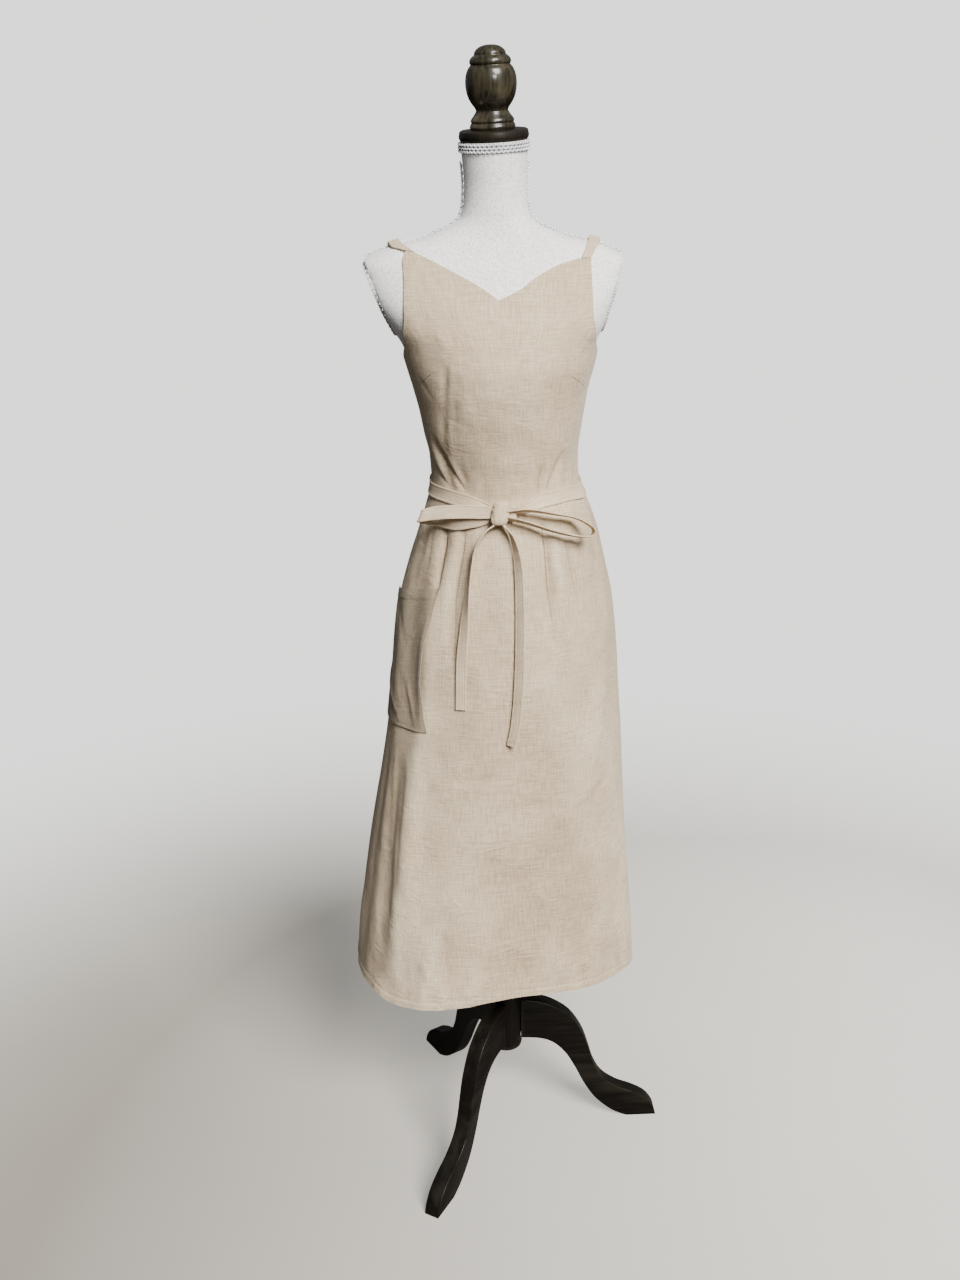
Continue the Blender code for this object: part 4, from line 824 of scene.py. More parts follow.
def linen(name, shade, crumple=0.04, crumple_height=0.0016, slubs=1.0, lines=(), foot=0.0):
    """Linen in a shade, following the piece's flat map. Its crumples are foot times higher near the hem."""
    pale, deep = [shade * c for c in PALE], [shade * c for c in DEEP]
    material, tree, shader = new_material(name)
    flat = add(tree, "UVMap", uv_map="cloth").outputs[0]
    weave = add(tree, "Group", {"Flat": flat, "Slubs": slubs}, node_tree=WEAVE).outputs
    soft = add(tree, "Group", {"Flat": flat, "Size": crumple}, node_tree=CRUMPLE).outputs
    base = mix_colour(tree, ranged(tree, weave["Tone"], 0.25, 0.77), deep, pale)
    patch = ranged(tree, soft["Patch"], 0.30, 0.70)
    base = tinted(tree, base, mix_colour(tree, patch, (0.850, 0.815, 0.775), (1.05, 1.045, 1.03)))
    # Painted shade and painted light: the fold value darkens the troughs of folds and lightens the ridges.
    depth = ranged(tree, add(tree, "Attribute", attribute_name="fold").outputs["Fac"], -0.003, 0.003)
    base = tinted(tree, base, mix_colour(tree, depth, (0.86, 0.82, 0.78), (1.06, 1.06, 1.06)))
    low = ranged(tree, add(tree, "SeparateXYZ", {0: flat}).outputs[1], 0.66, 0.34)
    height = math_node(tree, "MULTIPLY", soft["Height"], math_node(tree, "MULTIPLY_ADD", low, foot, 1.0))
    # Each line is painted shade along a dart or the bottom of a fold, with a small groove in the bump.
    for a0, z0, a1, z1, half, dark in lines:
        ends = {"Start": (*flat_of(a0, z0), 0.0), "End": (*flat_of(a1, z1), 0.0), "Width": half}
        mark = add(tree, "Group", {"Flat": flat, **ends}, node_tree=LINE).outputs[0]
        mark = math_node(tree, "MULTIPLY", mark, dark)
        base = tinted(tree, base, mix_colour(tree, mark, (1.0, 1.0, 1.0), (0.30, 0.25, 0.20)))
        height = math_node(tree, "MULTIPLY_ADD", mark, -0.25, height)
    folds = bumped(tree, height, crumple_height)
    feed(tree, shader, {
        "Base Color": base, "Roughness": 0.86, "Specular IOR Level": 0.25, "Sheen Weight": 0.22,
        "Sheen Roughness": 0.45, "Sheen Tint": (1.0, 0.95, 0.88, 1.0),
        "Normal": bumped(tree, weave["Height"], 0.00022, 0.8, folds),
    })
    return material


linen_panel = linen("linen_panel", 1.0, crumple_height=0.0036, foot=1.1)
linen_front = linen("linen_front", 1.0, crumple_height=0.0036, lines=FRONT_PAINTED_SHADE_LINES, foot=1.1)
# The pocket's darker shade is painted shade, standing in for the shade it lies in.
linen_pocket_painted_shade = linen("linen_pocket_painted_shade", 0.67, crumple_height=0.0030)
# The tie's paler shade is painted light; the straps, the bow and the knot share it.
linen_tie = linen("linen_tie", 1.12, crumple=0.018, crumple_height=0.0006, slubs=0.6)
print("materials:", [made.name for made in (linen_panel, linen_front, linen_pocket_painted_shade, linen_tie)])

# %% [markdown]
# ## Front of bib and skirt
#
# The front is one piece of cloth from the neckline to the hem. Its columns fan out from the narrow bib
# to the side seams, and its rows are closer where the tie gathers it and at the turned hem. The
# neckline is heart-shaped: a point at the middle and a soft curve up to each strap.

# %% The front's edges
SIDE_SEAM = 100.0
CLOTH = 0.0009
HEM_BAND = 0.0125
V_X = 0.0045
UNDERARM = 1.254
ARMHOLE = (
    # height, angle of the front's edge
    (0.300, SIDE_SEAM), (1.262, SIDE_SEAM), (1.274, 94.0), (1.286, 82.0), (1.300, 68.0), (1.320, 54.5),
    (1.345, 44.5), (1.375, 40.0), (1.405, 38.5), (1.430, 39.5),
)
NECKLINE = (
    # across, height
    (-0.1250, 1.4250), (-0.1100, 1.4235), (-0.0900, 1.4155), (-0.0710, 1.4060), (-0.0480, 1.3940),
    (-0.0260, 1.3820), (V_X, 1.3620), (0.0320, 1.3745), (0.0500, 1.3870), (0.0710, 1.3985),
    (0.0920, 1.4070), (0.1150, 1.4110), (0.1300, 1.4110),
)
HEM = (
    # angle, height
    (-180.0, 0.3280), (-120.0, 0.3330), (-80.0, 0.3370), (-45.0, 0.3250), (-28.0, 0.3255), (0.0, 0.3340),
    (28.0, 0.3260), (50.0, 0.3230), (70.0, 0.3160), (92.0, 0.3100), (135.0, 0.3180), (180.0, 0.3280),
)
HEM_ROWS = (0.0, 0.0012, 0.0040, 0.0080, 0.0110, 0.0122, 0.0135, 0.0160, 0.0200)
GROOVE = 0.0012
SEAM_DIP = 0.0035


def edge_angle(z):
    """Angle of the front's edge at a height."""
    return along(ARMHOLE, z)[0]


def neckline(x):
    """Height of the neckline at a place across."""
    return np.where(x < V_X, along(NECKLINE[:7], x)[0], along(NECKLINE[6:], x)[0])


def hem_height(angle):
    """Height of the hem at an angle."""
    return along(HEM, plain_turn(angle))[0]


def bib_top(share):
    """Height at which a column of the front meets the neckline."""
    z = np.full(np.shape(share), 1.400)
    for _ in range(30):
        z = 0.5 * z + 0.5 * neckline(face(share * edge_angle(z), z)[..., 0])
    return z


def hem_lift(above):
    """The turned hem is double, and its stitching pulls a small groove."""
    return 0.00035 * ease((HEM_BAND - above) / GROOVE) - 0.0005 * bell(above, HEM_BAND, GROOVE)


print("neckline over the middle:", float(neckline(np.array(V_X))))

# %% The front panel
LEVELS = np.concatenate([
    np.linspace(0.400, 0.900, 98),
    np.linspace(0.900, 1.060, 46)[1:],
    np.linspace(1.060, 1.125, 23)[1:],
    np.linspace(1.125, UNDERARM, 33)[1:],
])


def skirt_heights(angle, levels):
    """Heights of the rows of a panel: close over the hem, then up through the levels."""
    hem = hem_height(angle)
    rows = [hem + up for up in HEM_ROWS]
    for share in np.linspace(0.0, 1.0, 12)[1:-1]:
        rows.append((hem + HEM_ROWS[-1]) * (1 - share) + levels[0] * share)
    rows += [np.full(np.shape(angle), z) for z in levels]
    return np.array(rows), np.array(rows) - hem


def front_panel():
    """Bib and skirt front in one."""
    shares = np.linspace(-1.0, 1.0, 187)
    v_share = float(angle_at(V_X, 1.362) / edge_angle(1.362))
    shares[np.argmin(np.abs(shares - v_share))] = v_share
    tops = bib_top(shares)
    z, above = skirt_heights(shares * SIDE_SEAM, LEVELS)
    part = np.linspace(0.0, 1.0, 42)[1:, None]
    bib = UNDERARM + (tops - UNDERARM) * part
    z = np.vstack([z, bib])
    above = np.vstack([above, bib - 0.3])
    angle = shares * edge_angle(z)
    lift = hem_lift(above)
    from_seam = (1.0 - np.abs(shares)) * 0.155
    lift = lift - 0.0006 * bell(from_seam, 0.0, SEAM_DIP) * ease((1.262 - z) / 0.02)
    outer = cloth(angle, z, lift + 0.0002 * bell(z, tops, 0.0022))
    inner = cloth(angle, z, lift - CLOTH)
    piece = cloth_wall("front_cloth", outer, inner, flat_of(angle, z), linen_front, shade=relief(angle, z))
    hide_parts("front_panel")
    return piece


front = front_panel()
print("front:", len(front.data.polygons), "faces")

# %% [markdown]
# ## Back panels
#
# Two backs run from the side seams to a straight top edge under the shoulder blades and wrap over each
# other at the centre back, the left one on top. They are made as the front is, from the same surface.

# %% Back panels
BACK_TOP = 1.264
BACK_SEAM = 100.2
BACK_EDGE = 196.0
OVERLAP_LIFT = 0.0026
EDGE_HEM = 0.010
BACK_REACH = 0.15 / 60.0


def overlap_lift(angle):
    """How far the upper back is lifted where it crosses the lower one."""
    return OVERLAP_LIFT * ease((angle - 150.0) / 14.0)


def back_panel(name, node, side):
    """One back panel, from the side seam past the centre back."""
    angle = np.linspace(BACK_SEAM, BACK_EDGE, 92)
    levels = np.concatenate([LEVELS[LEVELS < 1.245][::2], np.linspace(1.246, BACK_TOP, 7)])
    z, above = skirt_heights(side * angle, levels)
    around = side * np.broadcast_to(angle, z.shape)
    lift = hem_lift(above) + (overlap_lift(np.abs(around)) if side < 0 else 0.0)
    from_seam = (np.abs(around) - BACK_SEAM) / 60.0 * 0.17
    lift = lift - 0.0006 * bell(from_seam, 0.0, SEAM_DIP)
    from_edge = (BACK_EDGE - np.abs(around)) * BACK_REACH
    lift = lift + 0.0005 * ease((EDGE_HEM - from_edge) / 0.0015) - 0.0004 * bell(from_edge, EDGE_HEM, GROOVE)
    if side < 0:
        lift = lift + 0.0012 * ease((0.03 - from_edge) / 0.03) * np.sin(z * 17.0 + 1.0) ** 2
    way = outward(around, z)
    move = relief(around, z) + lift
    outer = face(around, z) + way * move[..., None]
    inner = outer - way * CLOTH
    piece = cloth_wall(name, outer, inner, flat_of(around, z), linen_panel, shade=relief(around, z))
    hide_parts(node)
    return piece


back_right = back_panel("back_cloth_right", "back_panel_right", 1)
back_left = back_panel("back_cloth_left", "back_panel_left", -1)
print("backs:", len(back_right.data.polygons), len(back_left.data.polygons), "faces")

# %% [markdown]
# ## Patch pocket
#
# The pocket is a patch stitched on over the left hip. Its mouth is a folded band, its front edge stands
# a little off the skirt with a bright rim, and it sags in soft diagonal folds. How far each place stands
# off also paints it: painted light where it stands well off, as on the rim, and painted shade where it
# lies close. It is made from the skirt's own points moved outwards, so it follows every fold beneath it.

# %% Patch pocket
POCKET_WIDE = 0.135
POCKET_TALL = 0.200
POCKET_STITCH = 0.0035
MOUTH_BAND = 0.016
POCKET_SIDE = -96.5
POCKET_FOOT = (0.7580, 0.7690)
POCKET_MOUTH = (0.9520, 0.9780)
POCKET_FRONT = (
    # height, angle of the pocket's front edge
    (0.768, -41.8), (0.805, -45.0), (0.843, -48.2), (0.891, -46.6), (0.933, -43.0), (0.978, -40.5),
)
POCKET_CREASES = (
    # share across and up of the start, then of the end, half width, height
    (0.00, 0.30, 0.46, 0.03, 0.0062, -0.0032),
    (0.06, 0.34, 0.50, 0.10, 0.0070, 0.0020),
    (0.30, 0.90, 0.62, 0.60, 0.0070, -0.0010),
    (0.18, 0.60, 0.30, 0.30, 0.0090, 0.0012),
    (0.55, 0.40, 0.72, 0.12, 0.0070, -0.0012),
    (0.72, 0.34, 0.84, 0.06, 0.0050, 0.0012),
    (0.20, 0.98, 0.34, 0.72, 0.0060, -0.0009),
    (0.80, 0.80, 0.62, 0.52, 0.0060, 0.0008),
)


def pocket_place(wide, up):
    """Angle and height of a place on the pocket."""
    foot = POCKET_FOOT[0] + (POCKET_FOOT[1] - POCKET_FOOT[0]) * wide
    mouth = POCKET_MOUTH[0] + (POCKET_MOUTH[1] - POCKET_MOUTH[0]) * wide
    z = foot + (mouth - foot) * up
    front = along(POCKET_FRONT, z)[0]
    return POCKET_SIDE + (front - POCKET_SIDE) * wide, z


def pocket_lift(wide, up):
    """How far the pocket stands off the skirt."""
    lift = 0.0012 + 0.0022 * up ** 1.5 * np.sin(np.pi * wide)
    lift = lift + 0.0042 * bell(wide, 1.0, 0.085) * np.sin(np.pi * np.clip(up * 1.06, 0, 1)) ** 0.7
    for u0, v0, u1, v1, half, height in POCKET_CREASES:
        run = ((u1 - u0) * POCKET_WIDE, (v1 - v0) * POCKET_TALL)
        away, near = from_line((wide - u0) * POCKET_WIDE, (up - v0) * POCKET_TALL, *run)
        lift = lift + height * np.sin(np.pi * (0.1 + 0.8 * near)) ** 0.7 * bell(away, 0.0, half)
    edge = np.minimum(np.minimum(wide, 1.0 - wide) * POCKET_WIDE, up * POCKET_TALL)
    lift = lift - 0.0004 * bell(edge, POCKET_STITCH, 0.0011)
    down = (1.0 - up) * POCKET_TALL
    lift = lift + 0.0005 * ease((MOUTH_BAND - down) / 0.0015) - 0.0004 * bell(down, MOUTH_BAND, 0.0011)
    return np.maximum(lift, 0.0008)


wide, up = np.meshgrid(np.linspace(0.0, 1.0, 76), np.linspace(0.0, 1.0, 104))
off = pocket_lift(wide, up)
# The fold value here is how far the pocket stands off: painted light where it stands well off, painted shade
# where it lies close.
pocket = cloth_wall(
    "pocket_cloth", cloth(*pocket_place(wide, up), off + CLOTH), cloth(*pocket_place(wide, up), off),
    np.stack([wide * POCKET_WIDE, up * POCKET_TALL], -1), linen_pocket_painted_shade, shade=off - 0.0035,
)
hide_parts("pocket")
print("pocket:", len(pocket.data.polygons), "faces")

# %% [markdown]
# ## The form under the dress
#
# The straps lie on the form's shoulders, so the form comes before them. It is a padded body covered in
# one taut cloth: level sections up to the shoulder ridge, then the neck, which leans a little forward.
# The arm holes are closed with flat plates, which cut the sections off at the sides.

# %% The form's sections
EASE = (
    # height, room under the cloth at the sides, in front, behind, and how far the form stands left
    (0.800, 0.0200, 0.0260, 0.0160, 0.0000), (0.850, 0.0090, 0.0190, 0.0080, 0.0000),
    (0.900, 0.0070, 0.0150, 0.0075, 0.0000), (0.950, 0.0078, 0.0140, 0.0085, 0.0000),
    (1.013, 0.0080, 0.0130, 0.0085, 0.0000), (1.065, 0.0060, 0.0110, 0.0070, 0.0000),
    (1.105, 0.0055, 0.0090, 0.0060, 0.0000), (1.150, 0.0065, 0.0100, 0.0060, 0.0000),
    (1.200, 0.0070, 0.0090, 0.0055, 0.0000), (1.240, 0.0050, 0.0055, 0.0035, 0.0000),
    (1.262, 0.0034, 0.0034, 0.0030, 0.0000), (1.285, 0.0050, 0.0034, 0.0030, 0.0000),
    (1.325, 0.0070, 0.0042, 0.0030, 0.0012), (1.360, 0.0060, 0.0042, 0.0030, 0.0032),
    (1.430, 0.0046, 0.0044, 0.0030, 0.0043),
)
FORM_FOOT = 0.800
NECK_TOP = 1.5600
PLATE_TIP = 0.1768
PLATE_TIP_Z = 1.4200
PLATE_SLOPE = 0.36
PLATE_FOOT = 1.285
FORM_HEIGHTS = (
    FORM_FOOT, 0.806, 0.830, 0.860, 0.900, 0.945, 0.985, 1.020, 1.055, 1.085, 1.110, 1.140, 1.175,
    1.210, 1.240, 1.264, 1.280, 1.294, 1.308, 1.325, 1.345, 1.370, 1.390, 1.405,
)
YOKE = (
    # height, half width, front, behind, squareness, shift right, shift to the front, share of the lean
    (1.4140, 0.1748, 0.0570, 0.0620, 2.30, -0.0013, 0.0000, 0.00),
    (1.4205, 0.1645, 0.0535, 0.0580, 2.25, -0.0012, 0.0000, 0.00),
    (1.4265, 0.1498, 0.0510, 0.0555, 2.20, -0.0006, 0.0000, 0.00),
    (1.4330, 0.1275, 0.0480, 0.0530, 2.15, 0.0004, 0.0000, 0.00),
    (1.4385, 0.1025, 0.0460, 0.0510, 2.10, 0.0015, 0.0000, 0.00),
    (1.4465, 0.0795, 0.0445, 0.0495, 2.05, 0.0018, 0.0000, 0.00),
    (1.4540, 0.0615, 0.0435, 0.0490, 2.00, 0.0022, 0.0000, 0.03),
    (1.4670, 0.0470, 0.0430, 0.0480, 2.00, 0.0025, 0.0000, 0.12),
    (1.4860, 0.0425, 0.0430, 0.0470, 2.00, 0.0028, 0.0000, 0.35),
    (1.5090, 0.0420, 0.0440, 0.0465, 2.00, 0.0032, 0.0002, 0.75),
    (1.5330, 0.0430, 0.0455, 0.0460, 2.00, 0.0028, 0.0020, 1.00),
    (NECK_TOP, 0.0448, 0.0448, 0.0448, 2.00, 0.0020, 0.0060, 1.00),
)
LEAN_FRONT = 8.5
LEAN_LEFT = 1.8


def plate_reach(z):
    """How far out the flat arm plate lets the form's side reach."""
    return np.where(np.asarray(z) < PLATE_FOOT, 1.0, PLATE_TIP - PLATE_SLOPE * (PLATE_TIP_Z - z))


def form_rows():
    """All sections of the form, with the arm plate's reach."""
    rows = []
    for z in FORM_HEIGHTS:
        half_width, front, behind, square, shift, _ = along(DRESS, z)
        side_room, front_room, back_room, left = along(EASE, z)
        section = (half_width - side_room, front - front_room, behind - back_room, square, shift - left)
        rows.append((z, *[float(v) for v in section], 0.0, 0.0, float(plate_reach(z))))
    rows += [row + (float(plate_reach(row[0])),) for row in YOKE]
    return rows


FORM = form_rows()


def lean(share):
    """Turn of the neck, for a share of its whole lean."""
    forward = Matrix.Rotation(math.radians(LEAN_FRONT * share), 4, "X")
    return Matrix.Rotation(math.radians(-LEAN_LEFT * share), 4, "Y") @ forward


def form_ring(z, angles):
    """One ring of points of the form at a height on its middle line."""
    half_width, front, behind, square, shift, ahead, share, _ = along(FORM, z)
    x, y = oval(angles, half_width, front, behind, square)
    reach = plate_reach(z)
    ring = np.stack([np.clip(x, -reach, reach), y, np.zeros_like(x)], -1)
    turn = np.array(lean(float(share)).to_3x3())
    return ring @ turn.T + np.array((float(shift), -float(ahead), float(z)))


def inside_form(points):
    """Below 0 inside the form below its neck, above 0 outside."""
    x, y, z = np.moveaxis(points, -1, 0)
    half_width, front, behind, square, shift, _, _, _ = along(FORM, z)
    x = np.abs(x - shift)
    depth = np.where(y < 0, front, behind)
    value = (x / half_width) ** square + (np.abs(y) / depth) ** square - 1.0
    return np.where(x > plate_reach(z), 1.0, value)


print("sections of the form:", len(FORM))

# %% [markdown]
# ## Cover and wood
#
# The form is covered in a whitish cloth with grey flecks. The braids are a silvery white. All wood is
# stained nearly black under a satin varnish, with a little brown where the stain is thin. The finial is
# a shade lighter and glossier.

# %% Materials of the form and the stand


def object_place(tree, scale=(1.0, 1.0, 1.0), turn=(0.0, 0.0, 0.0)):
    """Object coordinates in metres, scaled and turned."""
    where = add(tree, "TexCoord").outputs["Object"]
    return add(tree, "Mapping", {"Vector": where, "Scale": scale, "Rotation": turn}).outputs[0]


def cover_material():
    """The form's flecked cover."""
    material, tree, shader = new_material("form_cover")
    place = object_place(tree)
    fleck = noise(tree, scaled(tree, place, (1.0, 1.0, 0.75)), scale=430.0, detail=3.0, roughness=0.8)
    slow = noise(tree, place, scale=9.0, detail=2.0)
    rib = noise(tree, scaled(tree, place, (1.0, 1.0, 0.30)), scale=900.0, detail=2.0)
    base = mix_colour(tree, ranged(tree, fleck, 0.38, 0.56), (0.590, 0.580, 0.580), (0.900, 0.890, 0.880))
    drift = ranged(tree, slow, 0.3, 0.7)
    feed(tree, shader, {
        "Base Color": tinted(tree, base, mix_colour(tree, drift, (0.955, 0.95, 0.94), (1.0, 1.0, 1.0))),
        "Roughness": 0.9, "Specular IOR Level": 0.2, "Sheen Weight": 0.25,
        "Normal": bumped(tree, math_node(tree, "ADD", fleck, rib), 0.0004, 0.7),
    })
    return material


def wood_material(name, turn=(0.0, 0.0, 0.0), dark=(0.0026, 0.0021, 0.0017), light=(0.0080, 0.0066, 0.0046),
                  thin_stain=(0.0145, 0.0120, 0.0080), rub_and_edge_highlight=(0.052, 0.040, 0.029), coat=0.06):
    """Dark stained and varnished wood, its grain along the piece's local Z after the turn."""
    material, tree, shader = new_material(name)
    place = object_place(tree, turn=turn)
    grain = noise(tree, scaled(tree, place, (1.0, 1.0, 0.055)), scale=260.0, detail=4.0, roughness=0.65)
    broad = noise(tree, scaled(tree, place, (1.0, 1.0, 0.18)), scale=28.0, detail=2.0, distortion=0.4)
    base = mix_colour(tree, ranged(tree, grain, 0.38, 0.70), dark, light)
    base = mix_colour(tree, ranged(tree, broad, 0.50, 0.74), base, thin_stain)
    # Sharp edges get the rub colour: partly wear where the stain is rubbed thin, partly a painted highlight along
    # the edges.
    worn = ranged(tree, add(tree, "NewGeometry").outputs["Pointiness"], 0.525, 0.60)
    feed(tree, shader, {
        "Base Color": mix_colour(tree, math_node(tree, "MULTIPLY", worn, 0.5), base, rub_and_edge_highlight),
        "Roughness": ranged(tree, broad, 0.3, 0.7, 0.30, 0.44), "Specular IOR Level": 0.16,
        "Coat Weight": coat, "Coat Roughness": 0.18, "Normal": bumped(tree, grain, 0.0002, 0.5),
    })
    return material


def braid_material(name, pale, dark):
    """Braid with a soft satin thread."""
    material, tree, shader = new_material(name)
    place = object_place(tree)
    thread = noise(tree, place, scale=1400.0, detail=2.0)
    drift = noise(tree, place, scale=40.0, detail=1.0)
    tone = ranged(tree, math_node(tree, "ADD", thread, drift), 0.75, 1.25)
    feed(tree, shader, {
        "Base Color": mix_colour(tree, tone, dark, pale), "Roughness": 0.5, "Sheen Weight": 0.3,
        "Normal": bumped(tree, thread, 0.0002, 0.6),
    })
    return material


cover = cover_material()
wood = wood_material("dark_wood")
finial_wood = wood_material(
    "finial_wood", dark=(0.0090, 0.0074, 0.0044), light=(0.042, 0.036, 0.021),
    thin_stain=(0.090, 0.077, 0.046), rub_and_edge_highlight=(0.120, 0.104, 0.066), coat=0.45,
)
braid_pale = braid_material("braid", (0.86, 0.85, 0.88), (0.58, 0.57, 0.60))
braid_dark = braid_material("braid_edge", (0.240, 0.230, 0.235), (0.120, 0.115, 0.118))
print("cover, wood and braid ready")

# %% [markdown]
# ## Torso
#
# The torso is a closed body through many rings. Around each arm plate the cover turns over a sharp edge,
# so the rings are close together there.

# %% Torso
TORSO_COLUMNS = 144


def body_of_rings(name, rings, material, flat=None, crisp=38.0):
    """A closed body through rings of points, with a fan over each end."""
    rings = np.asarray(rings)
    rows, columns = rings.shape[:2]
    ends = np.stack([rings[0].mean(0), rings[-1].mean(0)])
    corners = np.concatenate([rings.reshape(-1, 3), ends])
    low = np.arange(columns)
    after = np.roll(low, -1)
    top = low + (rows - 1) * columns
    foot_fan = np.stack([np.full(columns, rows * columns), after, low], -1)
    top_fan = np.stack([np.full(columns, rows * columns + 1), top, np.roll(top, -1)], -1)
    faces = [grid_faces(rows, columns, closed=True), foot_fan, top_fan]
    return finish_piece(name, corners, faces, material, flat, crisp=crisp)


angles = np.linspace(0.0, 360.0, TORSO_COLUMNS, endpoint=False)
heights = np.concatenate([
    [0.800, 0.8015, 0.804],
    np.linspace(0.808, 1.280, 70),
    np.linspace(1.284, 1.408, 40),
    np.linspace(1.411, 1.4465, 26),
    np.linspace(1.450, NECK_TOP, 34),
])
torso_rings = []
for z in heights:
    ring = form_ring(z, angles)
    tuck = 0.96 + 0.04 * math.sqrt(min(1.0, (z - FORM_FOOT) / 0.006 + 0.02))
    middle = ring.mean(0)
    torso_rings.append(middle + (ring - middle) * np.array((tuck, tuck, 1.0)))
torso = body_of_rings("torso_cover", torso_rings, cover, crisp=30.0)
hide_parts("torso")
print("torso:", len(torso.data.polygons), "faces")

# %% [markdown]
# ## Stitches
#
# A seam shows as a row of short thread grains lying in a shallow groove. Each row is noted here as a
# path with the way out of the cloth, and all rows are sewn at the end, once every piece is there.

# %% Noting rows of stitches
STITCH_LENGTH = 0.0023
STITCH_STEP = 0.0031
rows_of_stitches = []


def stitch(points, ways):
    """Notes a row of stitches along a path, with the way out of the cloth at each point."""
    rows_of_stitches.append((np.asarray(points, float), unit(np.asarray(ways, float))))


def stitch_band(grid, places=(0.15, 0.85), flip=False):
    """Notes rows along both edges of a band given as a grid, its columns running across."""
    ahead = np.gradient(grid, axis=0)
    across = np.gradient(grid, axis=1)
    way = unit(np.cross(ahead, across)) * (-1.0 if flip else 1.0)
    columns = grid.shape[1] - 1
    for place in places:
        k = int(round(place * columns))
        outwards = way[:, k]
        stitch(grid[:, k] + outwards * 0.00015, outwards)


print("stitches are", 1000 * STITCH_LENGTH, "mm long")

# %% [markdown]
# ## Straps
#
# Each strap is a flat band, stitched along both edges, that runs from the bib's corner up over the
# shoulder braid and down to the top of the back. Its path turns about a line inside the shoulder, and
# every point of it is pushed out of the form's surface.

# %% Straps
STRAP_WIDTH = 0.0140
STRAP_ROOT = 0.0125
STRAP_THICK = 0.0016
STRAP_RISE = 0.0046
SHOULDER_Z = 1.330
BAND_COLUMNS = 17
STRAP = (
    # turn from the front over to the back, how far across on the viewer's left and right
    (71.0, -0.1250, 0.1285), (80.0, -0.1320, 0.1340), (90.0, -0.1365, 0.1372), (100.0, -0.1365, 0.1368),
    (112.0, -0.1330, 0.1325), (125.0, -0.1270, 0.1265), (160.0, -0.1085, 0.1060), (196.0, -0.0940, 0.0930),
)


def over_shoulder(x, degrees, lift):
    """Points over the form's shoulder at a place across, at a turn from the front."""
    x, degrees = np.broadcast_arrays(np.asarray(x, float), np.asarray(degrees, float))
    centre = np.stack([x, np.zeros_like(x), np.full(x.shape, SHOULDER_Z)], -1)
    way = np.stack([np.zeros_like(x), -np.cos(np.radians(degrees)), np.sin(np.radians(degrees))], -1)
    low, high = np.zeros(x.shape), np.full(x.shape, 0.16)
    for _ in range(36):
        middle = 0.5 * (low + high)
        inside = inside_form(centre + way * middle[..., None]) < 0
        low, high = np.where(inside, middle, low), np.where(inside, high, middle)
    return centre + way * (low + lift)[..., None]


def band_profile(count, edge=0.18):
    """Shares across a stitched band from -0.5 to 0.5, and how each lies: ridged edges, stitched grooves."""
    across = np.linspace(-0.5, 0.5, count)
    from_edge = 0.5 - np.abs(across)
    ridge = 0.00025 * ease((edge - from_edge) / 0.05) - 0.00025 * bell(from_edge, edge, 0.035)
    return across, ridge - 0.0005 * bell(from_edge, 0.0, 0.02)


def strap(name, node, side):
    """A strap from the bib's corner to the back's top edge."""
    column = 2 if side > 0 else 1
    path = smooth_path([(row[0], row[column]) for row in STRAP], 12)
    share, dip = band_profile(BAND_COLUMNS)
    degrees, middle = path[:, :1], path[:, 1:]
    wander = 0.0007 * np.sin(degrees / 9.0 + side)
    rise = STRAP_RISE * bell(degrees, 90.0, 8.0)
    low = over_shoulder(middle + share * STRAP_WIDTH + wander, degrees + 0 * share, 0.0018 + rise + 0 * share)
    way = unit(low * np.array((0.0, 1.0, 1.0)) - np.array((0.0, 0.0, SHOULDER_Z)))
    high = low + way * (STRAP_THICK + dip)[None, :, None]
    top = bib_top(np.array([float(side)]))[0]
    corner = float(face(side * edge_angle(top), top)[0])
    root_x = corner - side * STRAP_ROOT * (0.5 - side * share)
    root_z = neckline(root_x) + 0.0010
    root_angle = angle_at(root_x, root_z)
    way = outward(root_angle, root_z)
    root_low = face(root_angle, root_z) - way * STRAP_THICK
    root_high = root_low + way * (STRAP_THICK + dip)[:, None]
    end_z = np.full(share.shape, BACK_TOP + 0.0010)
    end_x = side * np.abs(path[-1, 1]) + share * STRAP_WIDTH
    end_angle = side * np.abs(angle_at(end_x, end_z, side * 91.0, side * 179.0))
    way = outward(end_angle, end_z)
    end_low = face(end_angle, end_z) - way * CLOTH
    end_high = end_low + way * (STRAP_THICK + dip)[:, None]

    def joined(root, run, end):
        rows = np.concatenate([root[None], run[7:-8:3], end[None]])
        return smooth_path(rows.reshape(len(rows), -1), 4).reshape(-1, BAND_COLUMNS, 3)

    outer, inner = joined(root_high, high, end_high), joined(root_low, low, end_low)
    piece = cloth_wall(name, outer, inner, flat_map(outer), linen_tie)
    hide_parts(node)
    stitch_band(outer)
    return piece


strap_left = strap("strap_cloth_left", "strap_left", -1)
strap_right = strap("strap_cloth_right", "strap_right", 1)
print("straps:", len(strap_left.data.polygons), "faces each")

# %% [markdown]
# ## The tie round the waist
#
# The tie is one long band, folded, turned and topstitched along both edges. Round the waist it lies flat
# over both backs. Near the knot it is drawn together into soft lengthwise pleats.

# %% The tie round the waist
BELT_WIDTH = 0.0190
BELT_GAP = 0.0007
TIE_THICK = 0.0015


